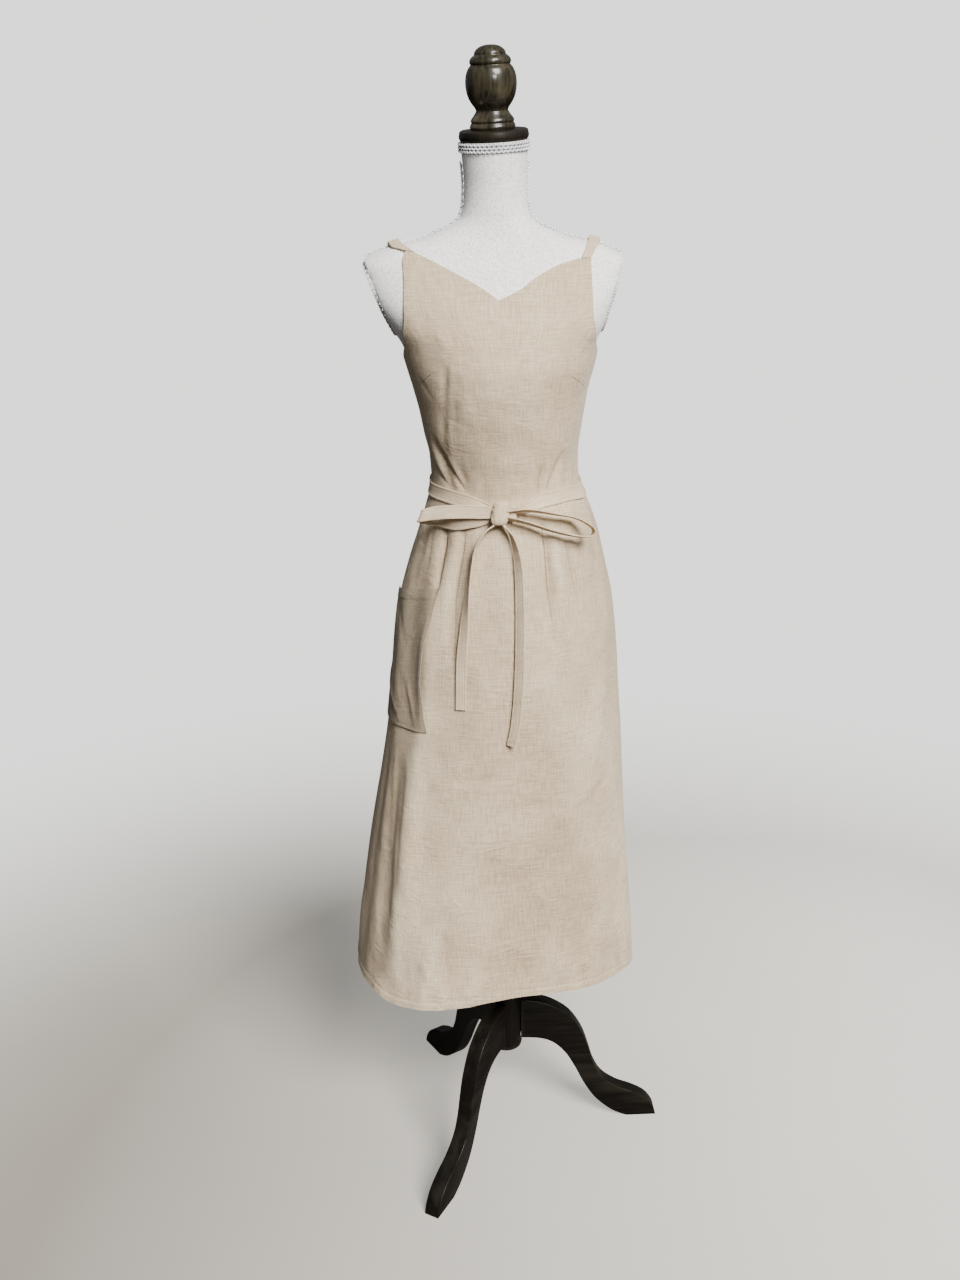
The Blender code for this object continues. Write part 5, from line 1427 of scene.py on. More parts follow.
def belt_grid(lift):
    """Points of the tie round the waist: a row for each angle and a column for each place across."""
    sides = np.linspace(26.0, 180.0, 78)
    angle = np.concatenate([-sides[::-1], np.linspace(-25.0, 25.0, 67), sides[:-1]])
    share, dip = band_profile(21)
    near = ease((np.abs(angle) - 3.0) / 20.0)
    width = BELT_WIDTH * (0.50 + 0.50 * near)
    middle = along(BELT, angle)[0]
    z = middle[:, None] + share[None, :] * width[:, None]
    pleat = 0.0009 * (1.0 - near[:, None]) * np.sin(share[None, :] * 19.0 + angle[:, None] * 0.05)
    waver = 0.0006 * np.sin(np.radians(angle) * 9.0 + 1.0) * np.sin(np.radians(angle) * 4.0)
    gap = BELT_GAP + OVERLAP_LIFT * ease((np.abs(angle) - 136.0) / 14.0) + 0.0002
    way = outward(angle, middle)[:, None, :]
    move = (gap + np.maximum(waver, -0.0003))[:, None] + np.maximum(pleat, -0.0004)
    move = move + lift * (TIE_THICK + dip[None, :])
    return face(angle[:, None], z) + way * move[..., None]


def closed_band(name, outer, inner, material):
    """A closed ring-shaped band between an outer and an inner grid."""
    rows, columns = outer.shape[:2]
    half = rows * columns
    faces = [grid_faces(rows, columns, looped=True), grid_faces(rows, columns, half, looped=True)[:, ::-1]]
    for k, way in ((0, 1), (columns - 1, -1)):
        a = np.arange(rows) * columns + k
        b = np.roll(a, -1)
        faces.append(np.stack([a, b, b + half, a + half], -1)[:, ::way])
    corners = np.concatenate([outer.reshape(-1, 3), inner.reshape(-1, 3)])
    flat = np.concatenate([flat_map(outer).reshape(-1, 2)] * 2)
    return finish_piece(name, corners, faces, material, flat)


belt_outer = belt_grid(1.0)
belt = closed_band("belt_cloth", belt_outer, belt_grid(0.0), linen_tie)
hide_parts("belt")
belt_loop = np.concatenate([belt_outer, belt_outer[:1]])
stitch_band(belt_loop, flip=True)
print("belt:", len(belt.data.polygons), "faces")

# %% [markdown]
# ## Bow
#
# Each loop and each free end is a band that follows a path: a row of the table gives a point across the
# front, how far it stands off the cloth, its height, and the way the band's width points. The left end
# hangs edge-on at first and then turns flat, and the right one shows its back with small wrinkles.

# %% Bow: loops and free ends
LOOP_WIDTH = 0.0185
TAIL_WIDTH = 0.0155
LOOP_LEFT = (
    # across, off the cloth, height, and the way its width points: across, forward, up
    (-0.0080, 0.0125, 1.0868, 0.00, -0.14, 1.00), (-0.0400, 0.0165, 1.0875, 0.00, -0.28, 1.00),
    (-0.0700, 0.0290, 1.0860, 0.04, -0.30, 1.00), (-0.0920, 0.0315, 1.0828, 0.16, -0.24, 1.00),
    (-0.1050, 0.0270, 1.0797, 0.36, -0.06, 1.00), (-0.1085, 0.0200, 1.0773, 0.44, 0.00, 1.00),
    (-0.1010, 0.0135, 1.0742, 0.34, 0.04, 1.00), (-0.0830, 0.0095, 1.0700, 0.12, 0.04, 1.00),
    (-0.0600, 0.0080, 1.0680, 0.00, 0.02, 1.00), (-0.0350, 0.0072, 1.0735, 0.00, 0.00, 1.00),
    (-0.0080, 0.0060, 1.0790, 0.00, 0.00, 1.00),
)
LOOP_RIGHT = (
    (0.0120, 0.0145, 1.0880, 0.00, 1.00, 0.45), (0.0420, 0.0165, 1.0890, 0.05, 1.00, 0.40),
    (0.0750, 0.0210, 1.0825, 0.15, 1.00, 0.30), (0.1080, 0.0260, 1.0720, 0.20, 1.00, 0.20),
    (0.1290, 0.0280, 1.0590, 0.20, 1.00, 0.15), (0.1270, 0.0270, 1.0490, 0.10, 1.00, 0.20),
    (0.1080, 0.0240, 1.0490, 0.00, 1.00, 0.30), (0.0750, 0.0190, 1.0595, 0.00, 1.00, 0.40),
    (0.0420, 0.0155, 1.0715, 0.00, 1.00, 0.45), (0.0120, 0.0140, 1.0795, 0.00, 1.00, 0.50),
)
TAIL_LEFT = (
    # across, off the cloth, height, degrees the band is turned from lying flat
    (-0.0015, 0.0110, 1.0690, 84.0), (-0.0150, 0.0110, 1.0590, 82.0), (-0.0285, 0.0110, 1.0390, 78.0),
    (-0.0350, 0.0105, 1.0150, 72.0), (-0.0420, 0.0095, 0.9750, 56.0), (-0.0490, 0.0060, 0.9250, 26.0),
    (-0.0545, 0.0028, 0.8750, 8.0), (-0.0570, 0.0012, 0.8080, 1.0),
)
TAIL_RIGHT = (
    (0.0060, 0.0110, 1.0690, 100.0), (0.0175, 0.0112, 1.0510, 74.0), (0.0240, 0.0100, 1.0200, 52.0),
    (0.0260, 0.0088, 0.9800, 43.0), (0.0260, 0.0080, 0.9200, 40.0), (0.0240, 0.0076, 0.8500, 38.0),
    (0.0190, 0.0074, 0.7900, 38.0), (0.0120, 0.0074, 0.7560, 40.0),
)


def loop_path(table):
    """Middle points of a loop and the way its width points."""
    rows = np.array(table, float)
    x, off, z = rows[:, 0], rows[:, 1], rows[:, 2]
    rows[:, 1] = face(angle_at(np.clip(x, -0.080, 0.112), z), z)[:, 1] - off
    path = smooth_path(rows, 11)
    return path[:, :3], unit(np.stack([path[:, 3], -path[:, 4], path[:, 5]], -1))


def tail_path(table):
    """Middle points of a free end and the way its width points."""
    path = smooth_path(table, 14)
    x, off, z, turned = path.T
    angle = angle_at(x, z)
    way = outward(angle, z)
    flat = unit(np.cross(way, np.array((0.0, 0.0, 1.0))))
    turned = np.radians(turned)[:, None]
    return face(angle, z) + way * off[:, None], -flat * np.cos(turned) + way * np.sin(turned)


def ribbon(name, centres, widths, width, cup=0.0, wrinkle=0.0, ends=(0.0, 0.0), seed=0.0):
    """A topstitched band along a path, a little cupped and wrinkled across."""
    share, dip = band_profile(BAND_COLUMNS)
    across = unit(widths)
    out = unit(np.cross(np.gradient(centres, axis=0), across))
    travel = travelled(centres)
    narrow = np.ones(len(centres))
    for place, amount in ((0.0, ends[0]), (travel[-1], ends[1])):
        narrow = narrow - amount * (1.0 - ease(np.abs(travel - place) / 0.022))
    t = share[None, :]
    wave = np.sin(travel[:, None] * 520.0 + t * 2.6 + 2.0 * np.sin(travel[:, None] * 90.0 + seed))
    wave = wave * (0.35 + 0.65 * np.sin(travel[:, None] * 47.0 + seed * 2.0) ** 2)
    pleat = 0.0008 * (1.0 - narrow[:, None]) / 0.5 * np.sin(t * 16.0)
    lift = cup * (1.0 - 4.0 * t * t) + wrinkle * wave + pleat
    middle = centres[:, None] + across[:, None] * (t * width * narrow[:, None])[..., None]
    middle = middle + out[:, None] * lift[..., None]
    half = (0.5 * TIE_THICK + dip)[None, :, None]
    outer, inner = middle + out[:, None] * half, middle - out[:, None] * half
    piece = cloth_wall(name, outer, inner, flat_map(middle), linen_tie)
    stitch_band(outer[3:-2])
    stitch_band(inner[3:-2], flip=True)
    return piece


loop_left = ribbon("loop_cloth_left", *loop_path(LOOP_LEFT), LOOP_WIDTH, 0.0003, 0.00008, (0.12, 0.30), 0.4)
loop_right = ribbon("loop_cloth_right", *loop_path(LOOP_RIGHT), LOOP_WIDTH, 0.0003, 0.00005, (0.35, 0.35), 1.7)
tail_left = ribbon("tail_cloth_left", *tail_path(TAIL_LEFT), TAIL_WIDTH, 0.0002, 0.00012, (0.35, 0.0), 2.9)
tail_right = ribbon("tail_cloth_right", *tail_path(TAIL_RIGHT), TAIL_WIDTH, 0.0003, 0.00034, (0.40, 0.0), 4.1)
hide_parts("loop_left")
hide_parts("loop_right")
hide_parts("tail_left")
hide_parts("tail_right")
print("bow:", [len(piece.data.polygons) for piece in (loop_left, loop_right, tail_left, tail_right)], "faces")

# %% [markdown]
# ## Knot
#
# The knot is one turn of the tie wrapped from the top right down over the loops. It is a rounded lump
# with a broad face, and creases fan out from where it is pulled tight. A second, smaller turn of the tie
# shows on its right.

# %% Knot
KNOT_AT = (0.0030, 1.0830)
KNOT_SIZE = (0.0125, 0.0100, 0.0165)
KNOT_CREASES = (
    # start and end as shares of the half width and half height, half width and depth
    (0.75, 0.92, -1.00, 0.48, 0.11, -0.0026),
    (0.55, 0.80, -0.30, -0.35, 0.10, -0.0010),
    (0.62, 0.74, 0.35, -0.80, 0.10, -0.0009),
    (0.20, 0.86, -0.70, 0.72, 0.08, -0.0010),
    (-0.90, 0.10, -0.55, -0.85, 0.10, -0.0009),
    (0.92, 0.60, 0.78, -0.90, 0.09, -0.0018),
    (-0.20, 0.20, 0.10, -0.40, 0.40, 0.0006),
)
TURN_AT = (0.0178, 1.0790)
TURN_SIZE = (0.0062, 0.0052, 0.0060)
TURN_CREASES = ((-1.0, 0.3, 1.0, 0.2, 0.25, -0.0006), (-1.0, -0.5, 0.6, -0.3, 0.2, -0.0004))


def lump(name, at, size, lift, creases, lean=0.16, rows=44, columns=72):
    """A rounded lump of wrapped cloth in front of the dress."""
    x, z = at
    half_w, half_d, half_h = size
    angle = angle_at(x, z)
    out = outward(angle, z)
    up = unit(face(angle, z + 0.015) - face(angle, z - 0.015))
    right = unit(np.cross(up, out))
    base = face(angle, z) + out * lift
    t = (math.pi * (0.02 + 0.96 * np.linspace(0.0, 1.0, rows)))[:, None]
    a = np.linspace(0.0, 2 * math.pi, columns, endpoint=False)[None, :]
    size_here = np.sin(t) ** 0.52
    px = np.copysign(np.abs(np.cos(a)) ** 0.75, np.cos(a)) * size_here
    py = np.copysign(np.abs(np.sin(a)) ** 0.75, np.sin(a)) * size_here
    level = np.broadcast_to(-np.copysign(np.abs(np.cos(t)) ** 0.72, np.cos(t)), px.shape)
    grow = np.zeros(px.shape)
    for u0, v0, u1, v1, half, height in creases:
        run = (u1 - u0, (v1 - v0) * half_h / half_w)
        away, _ = from_line(px - u0, (level - v0) * half_h / half_w, *run)
        grow = grow + height * bell(away, 0.0, half) * np.clip(py * 3.0, 0.0, 1.0)
    offset = np.stack([px * half_w + lean * level * half_h, py * half_d, level * half_h], -1)
    offset = offset + unit(offset) * grow[..., None]
    points = base + offset[..., :1] * right + offset[..., 1:2] * out + offset[..., 2:] * up
    flat = np.stack([a + 0 * t, level], -1) * np.array((half_w, half_h))
    flat = np.concatenate([flat.reshape(-1, 2), [[0.0, -half_h], [0.0, half_h]]])
    return body_of_rings(name, points, linen_tie, flat, crisp=60.0)


knot = lump("knot_cloth", KNOT_AT, KNOT_SIZE, BELT_GAP + 0.0016 + KNOT_SIZE[1] + 0.0001, KNOT_CREASES)
knot_turn = lump("knot_turn", TURN_AT, TURN_SIZE, 0.0095, TURN_CREASES, rows=20, columns=32)
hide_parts("knot")
print("knot and its second turn:", [len(piece.data.polygons) for piece in (knot, knot_turn)], "faces")

# %% [markdown]
# ## Plaited braids
#
# A narrow plaited braid runs round both arm plates and from the neck along each shoulder, and a ribbon of
# three rows closes the neck. Each is a grey core with rows of small slanted beads of pale thread.

# %% Braids
BRAID_CORE = 0.0010
BRAID_STEP = 0.0014
BEAD = (0.0024, 0.00130, 0.00110)
NECK_BEAD = (0.0024, 0.00115, 0.0010)
ARM_PLATE = (1.3620, 0.0470, 0.0365)


def ahead_of(line, closed):
    """The way ahead along a line, at each of its points."""
    if closed:
        return unit(np.roll(line, -1, axis=0) - np.roll(line, 1, axis=0))
    return unit(np.gradient(line, axis=0))


def tube(name, centres, radius, material, closed, sides=8):
    """A round cord along a path."""
    ahead = ahead_of(centres, closed)
    side = unit(np.cross(ahead, np.array((0.31, 0.52, 0.79))))
    other = np.cross(ahead, side)
    a = np.linspace(0.0, 2 * math.pi, sides, endpoint=False)[None, :, None]
    rings = centres[:, None] + radius * (np.cos(a) * side[:, None] + np.sin(a) * other[:, None])
    if not closed:
        return body_of_rings(name, rings, material)
    quads = grid_faces(len(rings), sides, closed=True, looped=True)
    return finish_piece(name, rings.reshape(-1, 3), [quads], material)


def grains(name, centres, ahead, out, sizes, material, rings=3, sides=6):
    """Many small rounded grains as one mesh: a middle, a long way and an upward way for each."""
    ahead, out = unit(ahead), unit(out)
    side = unit(np.cross(out, ahead))
    out = np.cross(ahead, side)
    long, wide, high = sizes
    rows = []
    for k in range(1, rings + 1):
        t = math.pi * k / (rings + 1)
        for j in range(sides):
            a = 2 * math.pi * j / sides
            round_it = math.sin(t) * np.array((math.cos(a) * wide, math.sin(a) * high))
            rows.append((-math.cos(t) * long, *round_it))
    rows += [(-long, 0.0, 0.0), (long, 0.0, 0.0)]
    shape = np.array(rows)
    each = len(shape)
    points = centres[:, None] + shape[None, :, :1] * ahead[:, None] + shape[None, :, 1:2] * side[:, None]
    points = points + shape[None, :, 2:] * out[:, None]
    ring = np.arange(sides)
    after = np.roll(ring, -1)
    quads = grid_faces(rings, sides, closed=True)
    low = np.stack([np.full(sides, each - 2), after, ring], -1)
    top = (rings - 1) * sides
    high_fan = np.stack([np.full(sides, each - 1), ring + top, after + top], -1)
    start = (np.arange(len(centres)) * each)[:, None, None]
    faces = [(f[None] + start).reshape(-1, f.shape[1]) for f in (quads, low, high_fan)]
    return finish_piece(name, points.reshape(-1, 3), faces, material, crisp=70.0)


def resample(path, step, closed=False):
    """Points at even steps along a path."""
    if closed:
        path = np.concatenate([path, path[:1]])
    travel = travelled(path)
    count = max(2, int(travel[-1] / step))
    at = np.linspace(0.0, travel[-1], count, endpoint=not closed)
    return np.stack([np.interp(at, travel, path[:, k]) for k in range(3)], -1)


def plait(name, node, path, out, closed):
    """A plaited braid along a path, given one way out of it: a grey core and three rows of beads round it."""
    fine = resample(path, BRAID_STEP, closed)
    ahead = ahead_of(fine, closed)
    out = unit(np.broadcast_to(np.array(out, float), fine.shape))
    side = np.cross(ahead, out)
    tube(name + "_core", fine[::2], BRAID_CORE, braid_dark, closed)
    turns = np.arange(len(fine)) * math.radians(120.0)
    way = out * np.cos(turns)[:, None] + side * np.sin(turns)[:, None]
    slant = np.where(np.arange(len(fine)) % 2 == 0, 1.0, -1.0)[:, None]
    slanted = ahead * 0.80 + np.cross(way, ahead) * 0.60 * slant
    beads = grains(name, fine + way * 0.00105, slanted, way, BEAD, braid_pale)
    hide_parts(node)
    print(name, round(float(travelled(fine)[-1]), 3), "m long")


for side, word in ((-1, "left"), (1, "right")):
    a = np.linspace(0.0, 2 * math.pi, 160, endpoint=False)
    z = ARM_PLATE[0] + ARM_PLATE[1] * np.sin(a)
    x = along(FORM, z)[4] + side * (plate_reach(z) + 0.0027)
    path = np.stack([x, ARM_PLATE[2] * np.cos(a), z], -1)
    plait("arm_plait_" + word, "arm_braid_" + word, path, (side, 0.0, 0.3), True)
    heights = np.concatenate([[1.4172], np.linspace(1.4205, 1.4540, 18)[1:], np.linspace(1.4540, 1.5345, 20)[1:]])
    line = np.array([form_ring(z, np.array([90.0 * side]))[0] for z in heights])
    step = unit(np.gradient(line, axis=0))
    way = unit(np.stack([side * np.abs(step[:, 2]), 0 * step[:, 0], np.abs(step[:, 0])], -1))
    plait("shoulder_plait_" + word, "shoulder_braid_" + word, line + way * 0.0020, (side, 0.0, 0.8), False)

neck_place = Matrix.Translation((0.0020, -0.0060, NECK_TOP)) @ lean(1.0)


def at_neck(points):
    """Points of the neck's own frame placed where the neck ends."""
    return points @ np.array(neck_place.to_3x3()).T + np.array(neck_place.translation)


def neck_circle(radius, height, count):
    """A circle round the neck."""
    a = np.linspace(0.0, 2 * math.pi, count, endpoint=False)
    return at_neck(np.stack([radius * np.cos(a), radius * np.sin(a), np.full(count, height)], -1))


middles, aheads, outs = [], [], []
for row, height in enumerate((-0.0024, -0.0065, -0.0106)):
    ring = neck_circle(0.0470, height, 96)
    ahead = ahead_of(ring, True)
    out = unit(ring - neck_circle(0.0001, height, 96))
    slant = np.where(np.arange(96) % 2 == row % 2, 1.0, -1.0)[:, None]
    middles.append(ring)
    aheads.append(ahead * 0.75 + np.cross(out, ahead) * 0.66 * slant)
    outs.append(out)
neck_beads = grains(
    "neck_ribbon", np.concatenate(middles), np.concatenate(aheads), np.concatenate(outs),
    NECK_BEAD, braid_pale,
)
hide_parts("neck_trim")
face_of_band = ((0.0454, -0.0008), (0.0466, -0.0012), (0.0468, -0.0065), (0.0466, -0.0120))
back_of_band = ((0.0454, -0.0008), (0.0453, -0.0040), (0.0453, -0.0090), (0.0453, -0.0122))
front_rings, back_rings = (
    np.stack([neck_circle(radius, height, 72) for radius, height in profile], 1)
    for profile in (face_of_band, back_of_band)
)
neck_band = closed_band("neck_band", front_rings, back_rings, braid_dark)
print("neck band:", len(neck_band.data.polygons), "faces")

# %% [markdown]
# ## Turned wood
#
# The finial, the plate that closes the neck and the post are turned on a lathe: half a profile is drawn
# and spun round its axis.

# %% Turned wood
FINIAL = (
    # height, radius
    (0.0000, 0.0286), (0.0030, 0.0300), (0.0058, 0.0291), (0.0080, 0.0279), (0.0104, 0.0286), (0.0135, 0.0272),
    (0.0165, 0.0246), (0.0194, 0.0226), (0.0226, 0.0211), (0.0262, 0.0228), (0.0310, 0.0264), (0.0375, 0.0301),
    (0.0450, 0.0324), (0.0545, 0.0334), (0.0640, 0.0324), (0.0712, 0.0296), (0.0748, 0.0268), (0.0764, 0.0257),
    (0.0784, 0.0268), (0.0815, 0.0266), (0.0848, 0.0245), (0.0868, 0.0216), (0.0880, 0.0206), (0.0905, 0.0201),
    (0.0938, 0.0176), (0.0966, 0.0134), (0.0984, 0.0080), (0.0990, 0.0034),
)
NECK_CAP = (
    (0.0004, 0.0425), (0.0014, 0.0450), (0.0040, 0.0461), (0.0070, 0.0462), (0.0120, 0.0452), (0.0134, 0.0430),
)
WOOD_CRISP = 40.0
STAND_X = 0.0030
POST_FOOT = 0.1490
POST_TOP = 0.3000
POST = (
    (POST_FOOT, 0.0200), (POST_FOOT + 0.003, 0.0250), (POST_FOOT + 0.008, 0.0265), (POST_FOOT + 0.013, 0.0250),
    (POST_FOOT + 0.015, 0.0246), (POST_TOP - 0.016, 0.0246), (POST_TOP - 0.013, 0.0270),
    (POST_TOP - 0.003, 0.0270), (POST_TOP, 0.0245),
)


def turned(name, node, profile, place, material, steps=96):
    """A piece turned on a lathe from a profile of heights and radii."""
    line = [(radius, 0.0, height) for height, radius in profile]
    line = [(0.0, 0.0, line[0][2]), *line, (0.0, 0.0, line[-1][2])]
    thing = new_object(name, line, [(k, k + 1) for k in range(len(line) - 1)], [])
    bpy.ops.object.mode_set(mode="EDIT")
    bpy.ops.mesh.select_all(action="SELECT")
    bpy.ops.mesh.spin(steps=steps, angle=2 * math.pi, center=(0.0, 0.0, 0.0), axis=(0.0, 0.0, 1.0))
    bpy.ops.mesh.select_all(action="SELECT")
    bpy.ops.mesh.remove_doubles(threshold=0.00001)
    bpy.ops.mesh.normals_make_consistent(inside=False)
    bpy.ops.object.mode_set(mode="OBJECT")
    thing.data.transform(Matrix.Translation(-Vector(AXIS)) @ place)
    thing.data.materials.append(material)
    bpy.ops.object.shade_smooth_by_angle(angle=math.radians(WOOD_CRISP))
    hang(thing)
    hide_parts(node)
    return thing


on_cap = neck_place @ Matrix.Translation((-0.0010, 0.0, 0.0138))
finial = turned("turned_finial", "finial", smooth_path(FINIAL, 5), on_cap, finial_wood)
neck_cap = turned("turned_cap", "neck_cap", NECK_CAP, neck_place, wood)
post = turned("turned_post", "post", POST, Matrix.Translation((STAND_X, 0.0, 0.0)), wood, 64)
print("turned:", [len(thing.data.polygons) for thing in (finial, neck_cap, post)])

# %% [markdown]
# ## Legs and pole
#
# Each leg is sawn from a board: its outline is drawn as one face, pushed out to the board's thickness,
# and all its edges are rounded.

# %% Legs and pole
LEG_HALF = 0.0122
LEG_EDGE = 0.0019
LEG_TURNS = (1.8, 122.6, 241.0)
POLE_RADIUS = 0.0125
LEG_TOP_EDGE = (
    # distance from the axis, height
    (0.0250, 0.2390), (0.0480, 0.2370), (0.0780, 0.2260), (0.1070, 0.2040), (0.1280, 0.1700),
    (0.1395, 0.1360), (0.1485, 0.1050), (0.1630, 0.0790), (0.1870, 0.0600), (0.2140, 0.0480),
    (0.2370, 0.0340), (0.2505, 0.0160), (0.2555, 0.0000),
)
LEG_LOW_EDGE = (
    (0.2050, 0.0000), (0.1790, 0.0130), (0.1510, 0.0390), (0.1310, 0.0710), (0.1150, 0.1050),
    (0.0990, 0.1335), (0.0790, 0.1545), (0.0560, 0.1642), (0.0250, 0.1670),
)


def leg(number, degrees):
    """One leg, sawn from a board that stands on edge."""
    outline = np.concatenate([smooth_path(LEG_LOW_EDGE, 6), smooth_path(LEG_TOP_EDGE, 6)])
    c, s = math.cos(math.radians(degrees)), math.sin(math.radians(degrees))
    points = [(STAND_X + r * c + LEG_HALF * s, r * s - LEG_HALF * c, z) for r, z in outline]
    points = (np.array(points) - AXIS).tolist()
    thing = new_object(f"sawn_leg_{number}", points, [], [tuple(range(len(points)))])
    bpy.ops.object.mode_set(mode="EDIT")
    bpy.ops.mesh.select_all(action="SELECT")
    across = (-2 * LEG_HALF * s, 2 * LEG_HALF * c, 0.0)
    bpy.ops.mesh.extrude_region_move(TRANSFORM_OT_translate={"value": across})
    bpy.ops.mesh.select_all(action="SELECT")
    bpy.ops.mesh.normals_make_consistent(inside=False)
    bpy.ops.mesh.select_all(action="DESELECT")
    bpy.ops.mesh.edges_select_sharp(sharpness=math.radians(50.0))
    bpy.ops.mesh.bevel(offset=LEG_EDGE, segments=3, profile=0.5, clamp_overlap=True)
    bpy.ops.object.mode_set(mode="OBJECT")
    toward = Matrix.Rotation(math.radians(-90.0), 3, "Y") @ Matrix.Rotation(math.radians(-degrees), 3, "Z")
    thing.data.materials.append(wood_material(f"leg_wood_{number}", toward.to_euler("XYZ")))
    bpy.ops.object.shade_smooth_by_angle(angle=math.radians(WOOD_CRISP))
    hang(thing)
    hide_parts(f"leg_{number}")
    return thing


legs = [leg(number + 1, degrees) for number, degrees in enumerate(LEG_TURNS)]

paint, tree, shader = new_material("pole_paint")
speck = noise(tree, object_place(tree), scale=700.0, detail=2.0)
worn = noise(tree, object_place(tree, (1.0, 1.0, 0.2)), scale=60.0, detail=3.0)
feed(tree, shader, {
    "Base Color": mix_colour(tree, ranged(tree, worn, 0.55, 0.75), (0.022, 0.021, 0.021), (0.060, 0.058, 0.056)),
    "Roughness": ranged(tree, worn, 0.3, 0.7, 0.30, 0.42),
    "Normal": bumped(tree, speck, 0.00008),
})

pole_low, pole_high = POST_TOP + 0.0004, FORM_FOOT - 0.0004
bpy.ops.object.select_all(action="DESELECT")
bpy.ops.mesh.primitive_cylinder_add(
    vertices=64, radius=POLE_RADIUS, depth=pole_high - pole_low,
    location=(STAND_X - AXIS[0], -AXIS[1], 0.5 * (pole_low + pole_high)),
)
pole = bpy.context.object
pole.name = "painted_pole"
bpy.ops.object.transform_apply(location=True, rotation=True, scale=True)
bpy.ops.object.mode_set(mode="EDIT")
bpy.ops.mesh.select_all(action="DESELECT")
bpy.ops.mesh.edges_select_sharp(sharpness=math.radians(60.0))
bpy.ops.mesh.bevel(offset=0.0008, segments=2, profile=0.5)
bpy.ops.object.mode_set(mode="OBJECT")
pole.data.materials.append(paint)
bpy.ops.object.shade_smooth_by_angle(angle=math.radians(WOOD_CRISP))
hang(pole)
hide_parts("pole")
print("legs:", [len(thing.data.polygons) for thing in legs], "pole:", len(pole.data.polygons))

# %% [markdown]
# ## Sewing
#
# Now the rows of stitches are sewn: along the tie's bands, the hem, the pocket and the backs' edges.

# %% Sewing
THREAD_SIZE = (0.5 * STITCH_LENGTH, 0.00030, 0.00022)
thread, tree, shader = new_material("thread")
strand = noise(tree, object_place(tree), scale=2500.0, detail=1.0)
feed(tree, shader, {
    "Base Color": mix_colour(tree, strand, (0.360, 0.300, 0.235), (0.610, 0.535, 0.445)),
    "Roughness": 0.7, "Sheen Weight": 0.2, "Normal": bumped(tree, strand, 0.0001),
})


def stitch_on(angle, z, lift):
    """Notes a row of stitches on the dress's own surface."""
    stitch(cloth(angle, z, lift), outward(angle, z))


turns = np.linspace(-99.0, 99.0, 300)
stitch_on(turns, hem_height(turns) + HEM_BAND, -0.0003)
for side in (-1, 1):
    turns = side * np.linspace(BACK_SEAM + 1.0, BACK_EDGE - 4.0, 200)
    lift = overlap_lift(np.abs(turns)) if side < 0 else 0.0 * turns
    stitch_on(turns, hem_height(turns) + HEM_BAND, lift - 0.0003)
heights = np.linspace(0.335, BACK_TOP - 0.004, 300)
edge = np.full(heights.shape, EDGE_HEM / BACK_REACH - BACK_EDGE)
stitch_on(edge, heights, overlap_lift(np.abs(edge)) - 0.0002)
upright, level = np.linspace(0.02, 0.99, 90), np.linspace(0.03, 0.97, 90)
for wide, up in (
    (POCKET_STITCH / POCKET_WIDE + 0 * upright, upright),
    (1.0 - POCKET_STITCH / POCKET_WIDE + 0 * upright, upright),
    (level, POCKET_STITCH / POCKET_TALL + 0 * level),
    (level, 1.0 - MOUTH_BAND / POCKET_TALL + 0 * level),
):
    angle, z = pocket_place(wide, up)
    stitch_on(angle, z, pocket_lift(wide, up) + CLOTH + 0.0001)

middles, aheads, outs = [], [], []
for points, ways in rows_of_stitches:
    spots = resample(points, STITCH_STEP)
    travel = travelled(points)
    at = np.linspace(0.0, travel[-1], len(spots))
    middles.append(spots)
    aheads.append(np.gradient(spots, axis=0))
    outs.append(np.stack([np.interp(at, travel, ways[:, k]) for k in range(3)], -1))
sewing = grains(
    "stitches", np.concatenate(middles), np.concatenate(aheads), np.concatenate(outs),
    THREAD_SIZE, thread, rings=1, sides=4,
)
print(sewing.name, sum(len(m) for m in middles))

# %% [markdown]
# ## Floor and sky
#
# The floor is a matt pale sheet. Away from the stand it fades into the colour of the sky, so that no
# horizon shows, as in a studio with a curved white backdrop. Near the stand its colour is painted darker
# on the left and lighter on the right, and to the camera it glows more towards the right: painted shade
# and painted light, which also lift the lamps' shadows.

# %% Floor and sky
SKY_SEEN = (0.81, 0.82, 0.80)
SKY_SEEN_STRENGTH = 2.15
FADE = (0.5, 2.6)

ground, tree, shader = new_material("studio_floor")
where = add(tree, "TexCoord").outputs["Object"]
spread = scaled(tree, where, (1.0, 1.0, 0.0))
away = add(tree, "VectorMath", {0: spread, 1: (0.0, -0.3, 0.0)}, operation="DISTANCE").outputs["Value"]
fade = ranged(tree, away, *FADE, kind="SMOOTHERSTEP")
fibre = noise(tree, where, scale=900.0, detail=3.0)
cloud = noise(tree, where, scale=3.0, detail=2.0)
base = mix_colour(tree, ranged(tree, cloud, 0.3, 0.7), (0.94, 0.94, 0.94), (1.0, 1.0, 1.0))
# Painted shade and painted light: the floor's colour runs darker on the left and lighter on the right.
across = ranged(tree, add(tree, "SeparateXYZ", {0: where}).outputs[0], -0.8, 0.9)
base = tinted(tree, base, mix_colour(tree, across, (0.280, 0.258, 0.222), (0.400, 0.380, 0.350)))
base = mix_colour(tree, fade, base, (0.0, 0.0, 0.0))
to_camera = add(tree, "LightPath").outputs["Is Camera Ray"]
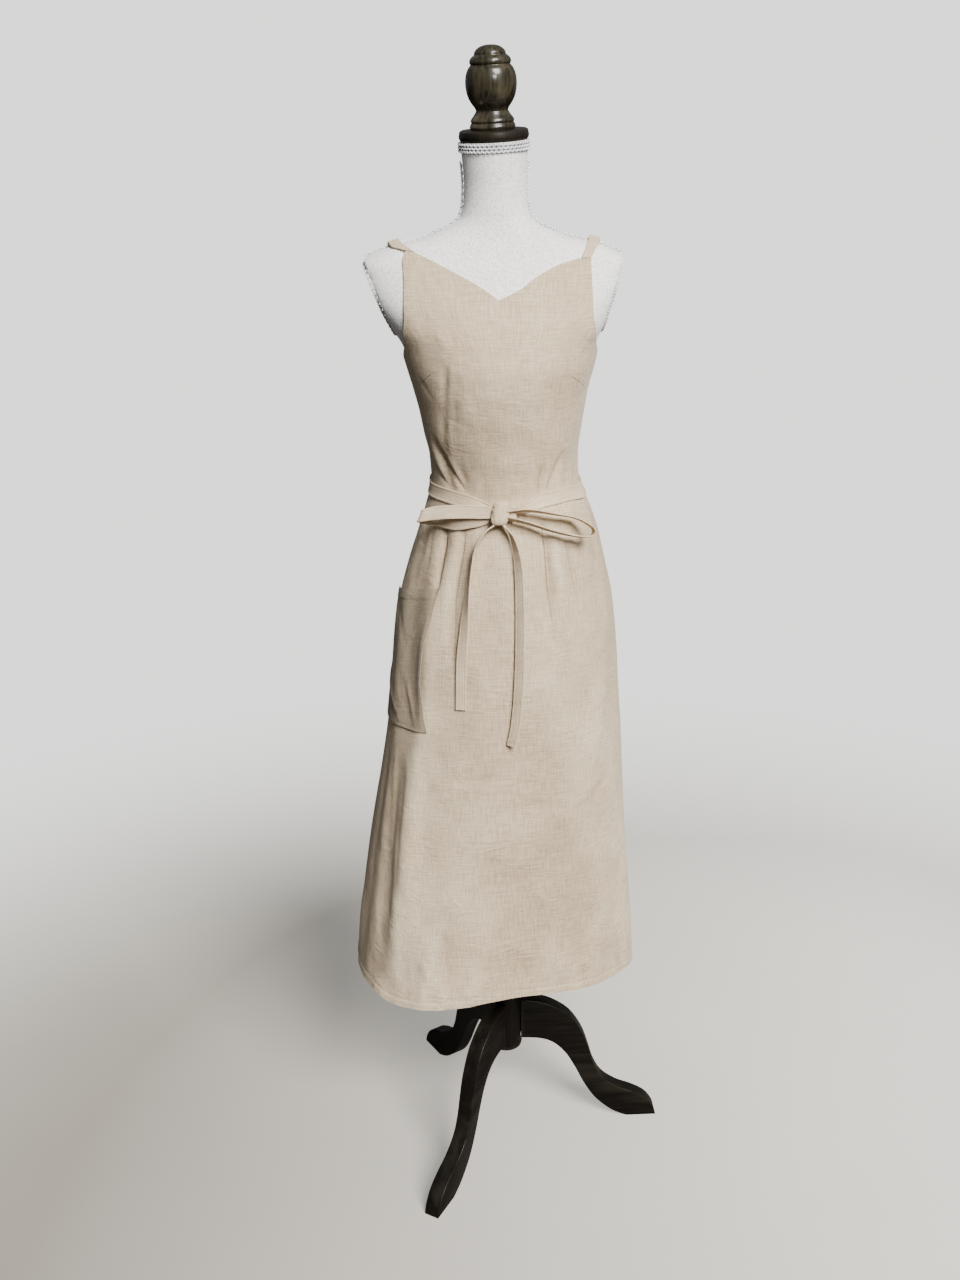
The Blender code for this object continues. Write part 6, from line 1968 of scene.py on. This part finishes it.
# To the camera the floor glows: far off as the backdrop, and near the stand more to the right, a painted light
# that also lifts the lamps' shadows.
lit = math_node(tree, "MAXIMUM", fade, math_node(tree, "MULTIPLY", across, 0.46))
backdrop_and_painted_glow = mix_colour(tree, fade, (0.95, 0.91, 0.83), SKY_SEEN)
feed(tree, shader, {
    "Base Color": tinted(tree, base, mix_colour(tree, to_camera, (0.35, 0.35, 0.35), (1.0, 1.0, 1.0))),
    "Emission Color": mix_colour(tree, math_node(tree, "MULTIPLY", lit, to_camera), (0.0, 0.0, 0.0), backdrop_and_painted_glow),
    "Emission Strength": SKY_SEEN_STRENGTH, "Roughness": 0.95, "Specular IOR Level": 0.1,
    "Normal": bumped(tree, fibre, 0.0002),
})
floor.data.materials.append(ground)

sky = world.node_tree
light_path = sky.nodes.new("ShaderNodeLightPath")
seen = sky.nodes.new("ShaderNodeBackground")
seen.inputs["Color"].default_value = (*SKY_SEEN, 1.0)
seen.inputs["Strength"].default_value = SKY_SEEN_STRENGTH
choose = sky.nodes.new("ShaderNodeMixShader")
sky.links.new(light_path.outputs["Is Camera Ray"], choose.inputs[0])
sky.links.new(sky.nodes["Background"].outputs[0], choose.inputs[1])
sky.links.new(seen.outputs[0], choose.inputs[2])
sky.links.new(choose.outputs[0], sky.nodes["World Output"].inputs["Surface"])
print("floor fades into the sky from", FADE[0], "to", FADE[1], "m away")

# %% [markdown]
# ## What is cloth
#
# Every cut piece is listed with the size of its cut, and its flat area is printed beside it. Each one's
# flat area comes from its flat map, which doesn't know about folds.

# %% Sheets


def flat_area(piece):
    """Area of a closed wall's flat map, one layer of it, in square metres."""
    mesh = piece.data
    uv = np.empty(len(mesh.loops) * 2)
    mesh.uv_layers["cloth"].data.foreach_get("uv", uv)
    uv = uv.reshape(-1, 2)
    total = 0.0
    for polygon in mesh.polygons:
        corner = uv[list(polygon.loop_indices)]
        after = np.roll(corner, -1, axis=0)
        total += 0.5 * abs(float(np.sum(corner[:, 0] * after[:, 1] - corner[:, 1] * after[:, 0])))
    return 0.5 * total


SHEETS = (
    # piece, width and length of the cut, how it is held, what it rests on
    (front, (0.660, 1.130), "hung", ["torso_cover"]),
    (back_left, (0.370, 0.955), "hung", ["torso_cover", "back_cloth_right"]),
    (back_right, (0.370, 0.955), "hung", ["torso_cover"]),
    (pocket, (0.140, 0.220), "laid", ["front_cloth"]),
    (strap_left, (0.0142, 0.330), "laid", ["torso_cover"]),
    (strap_right, (0.0142, 0.330), "laid", ["torso_cover"]),
    (belt, (0.0192, 0.640), "gathered", ["front_cloth", "back_cloth_left", "back_cloth_right"]),
    (loop_left, (0.0187, 0.230), "folded", ["front_cloth"]),
    (loop_right, (0.0187, 0.270), "folded", ["front_cloth"]),
    (tail_left, (0.0157, 0.285), "hung", ["front_cloth"]),
    (tail_right, (0.0157, 0.330), "hung", ["front_cloth"]),
)
for piece, cut, held, rests_on in SHEETS:
    area = flat_area(piece)
    print(piece.name, "cut", cut, "flat area", round(area, 5), "share", round(area / (cut[0] * cut[1]), 3))

# %% [markdown]
# ## Finish
#
# The pieces and their faces are counted.

# %% Finish
print("pieces:", len(pieces), "faces:", sum(len(thing.data.polygons) for thing in pieces.values()))
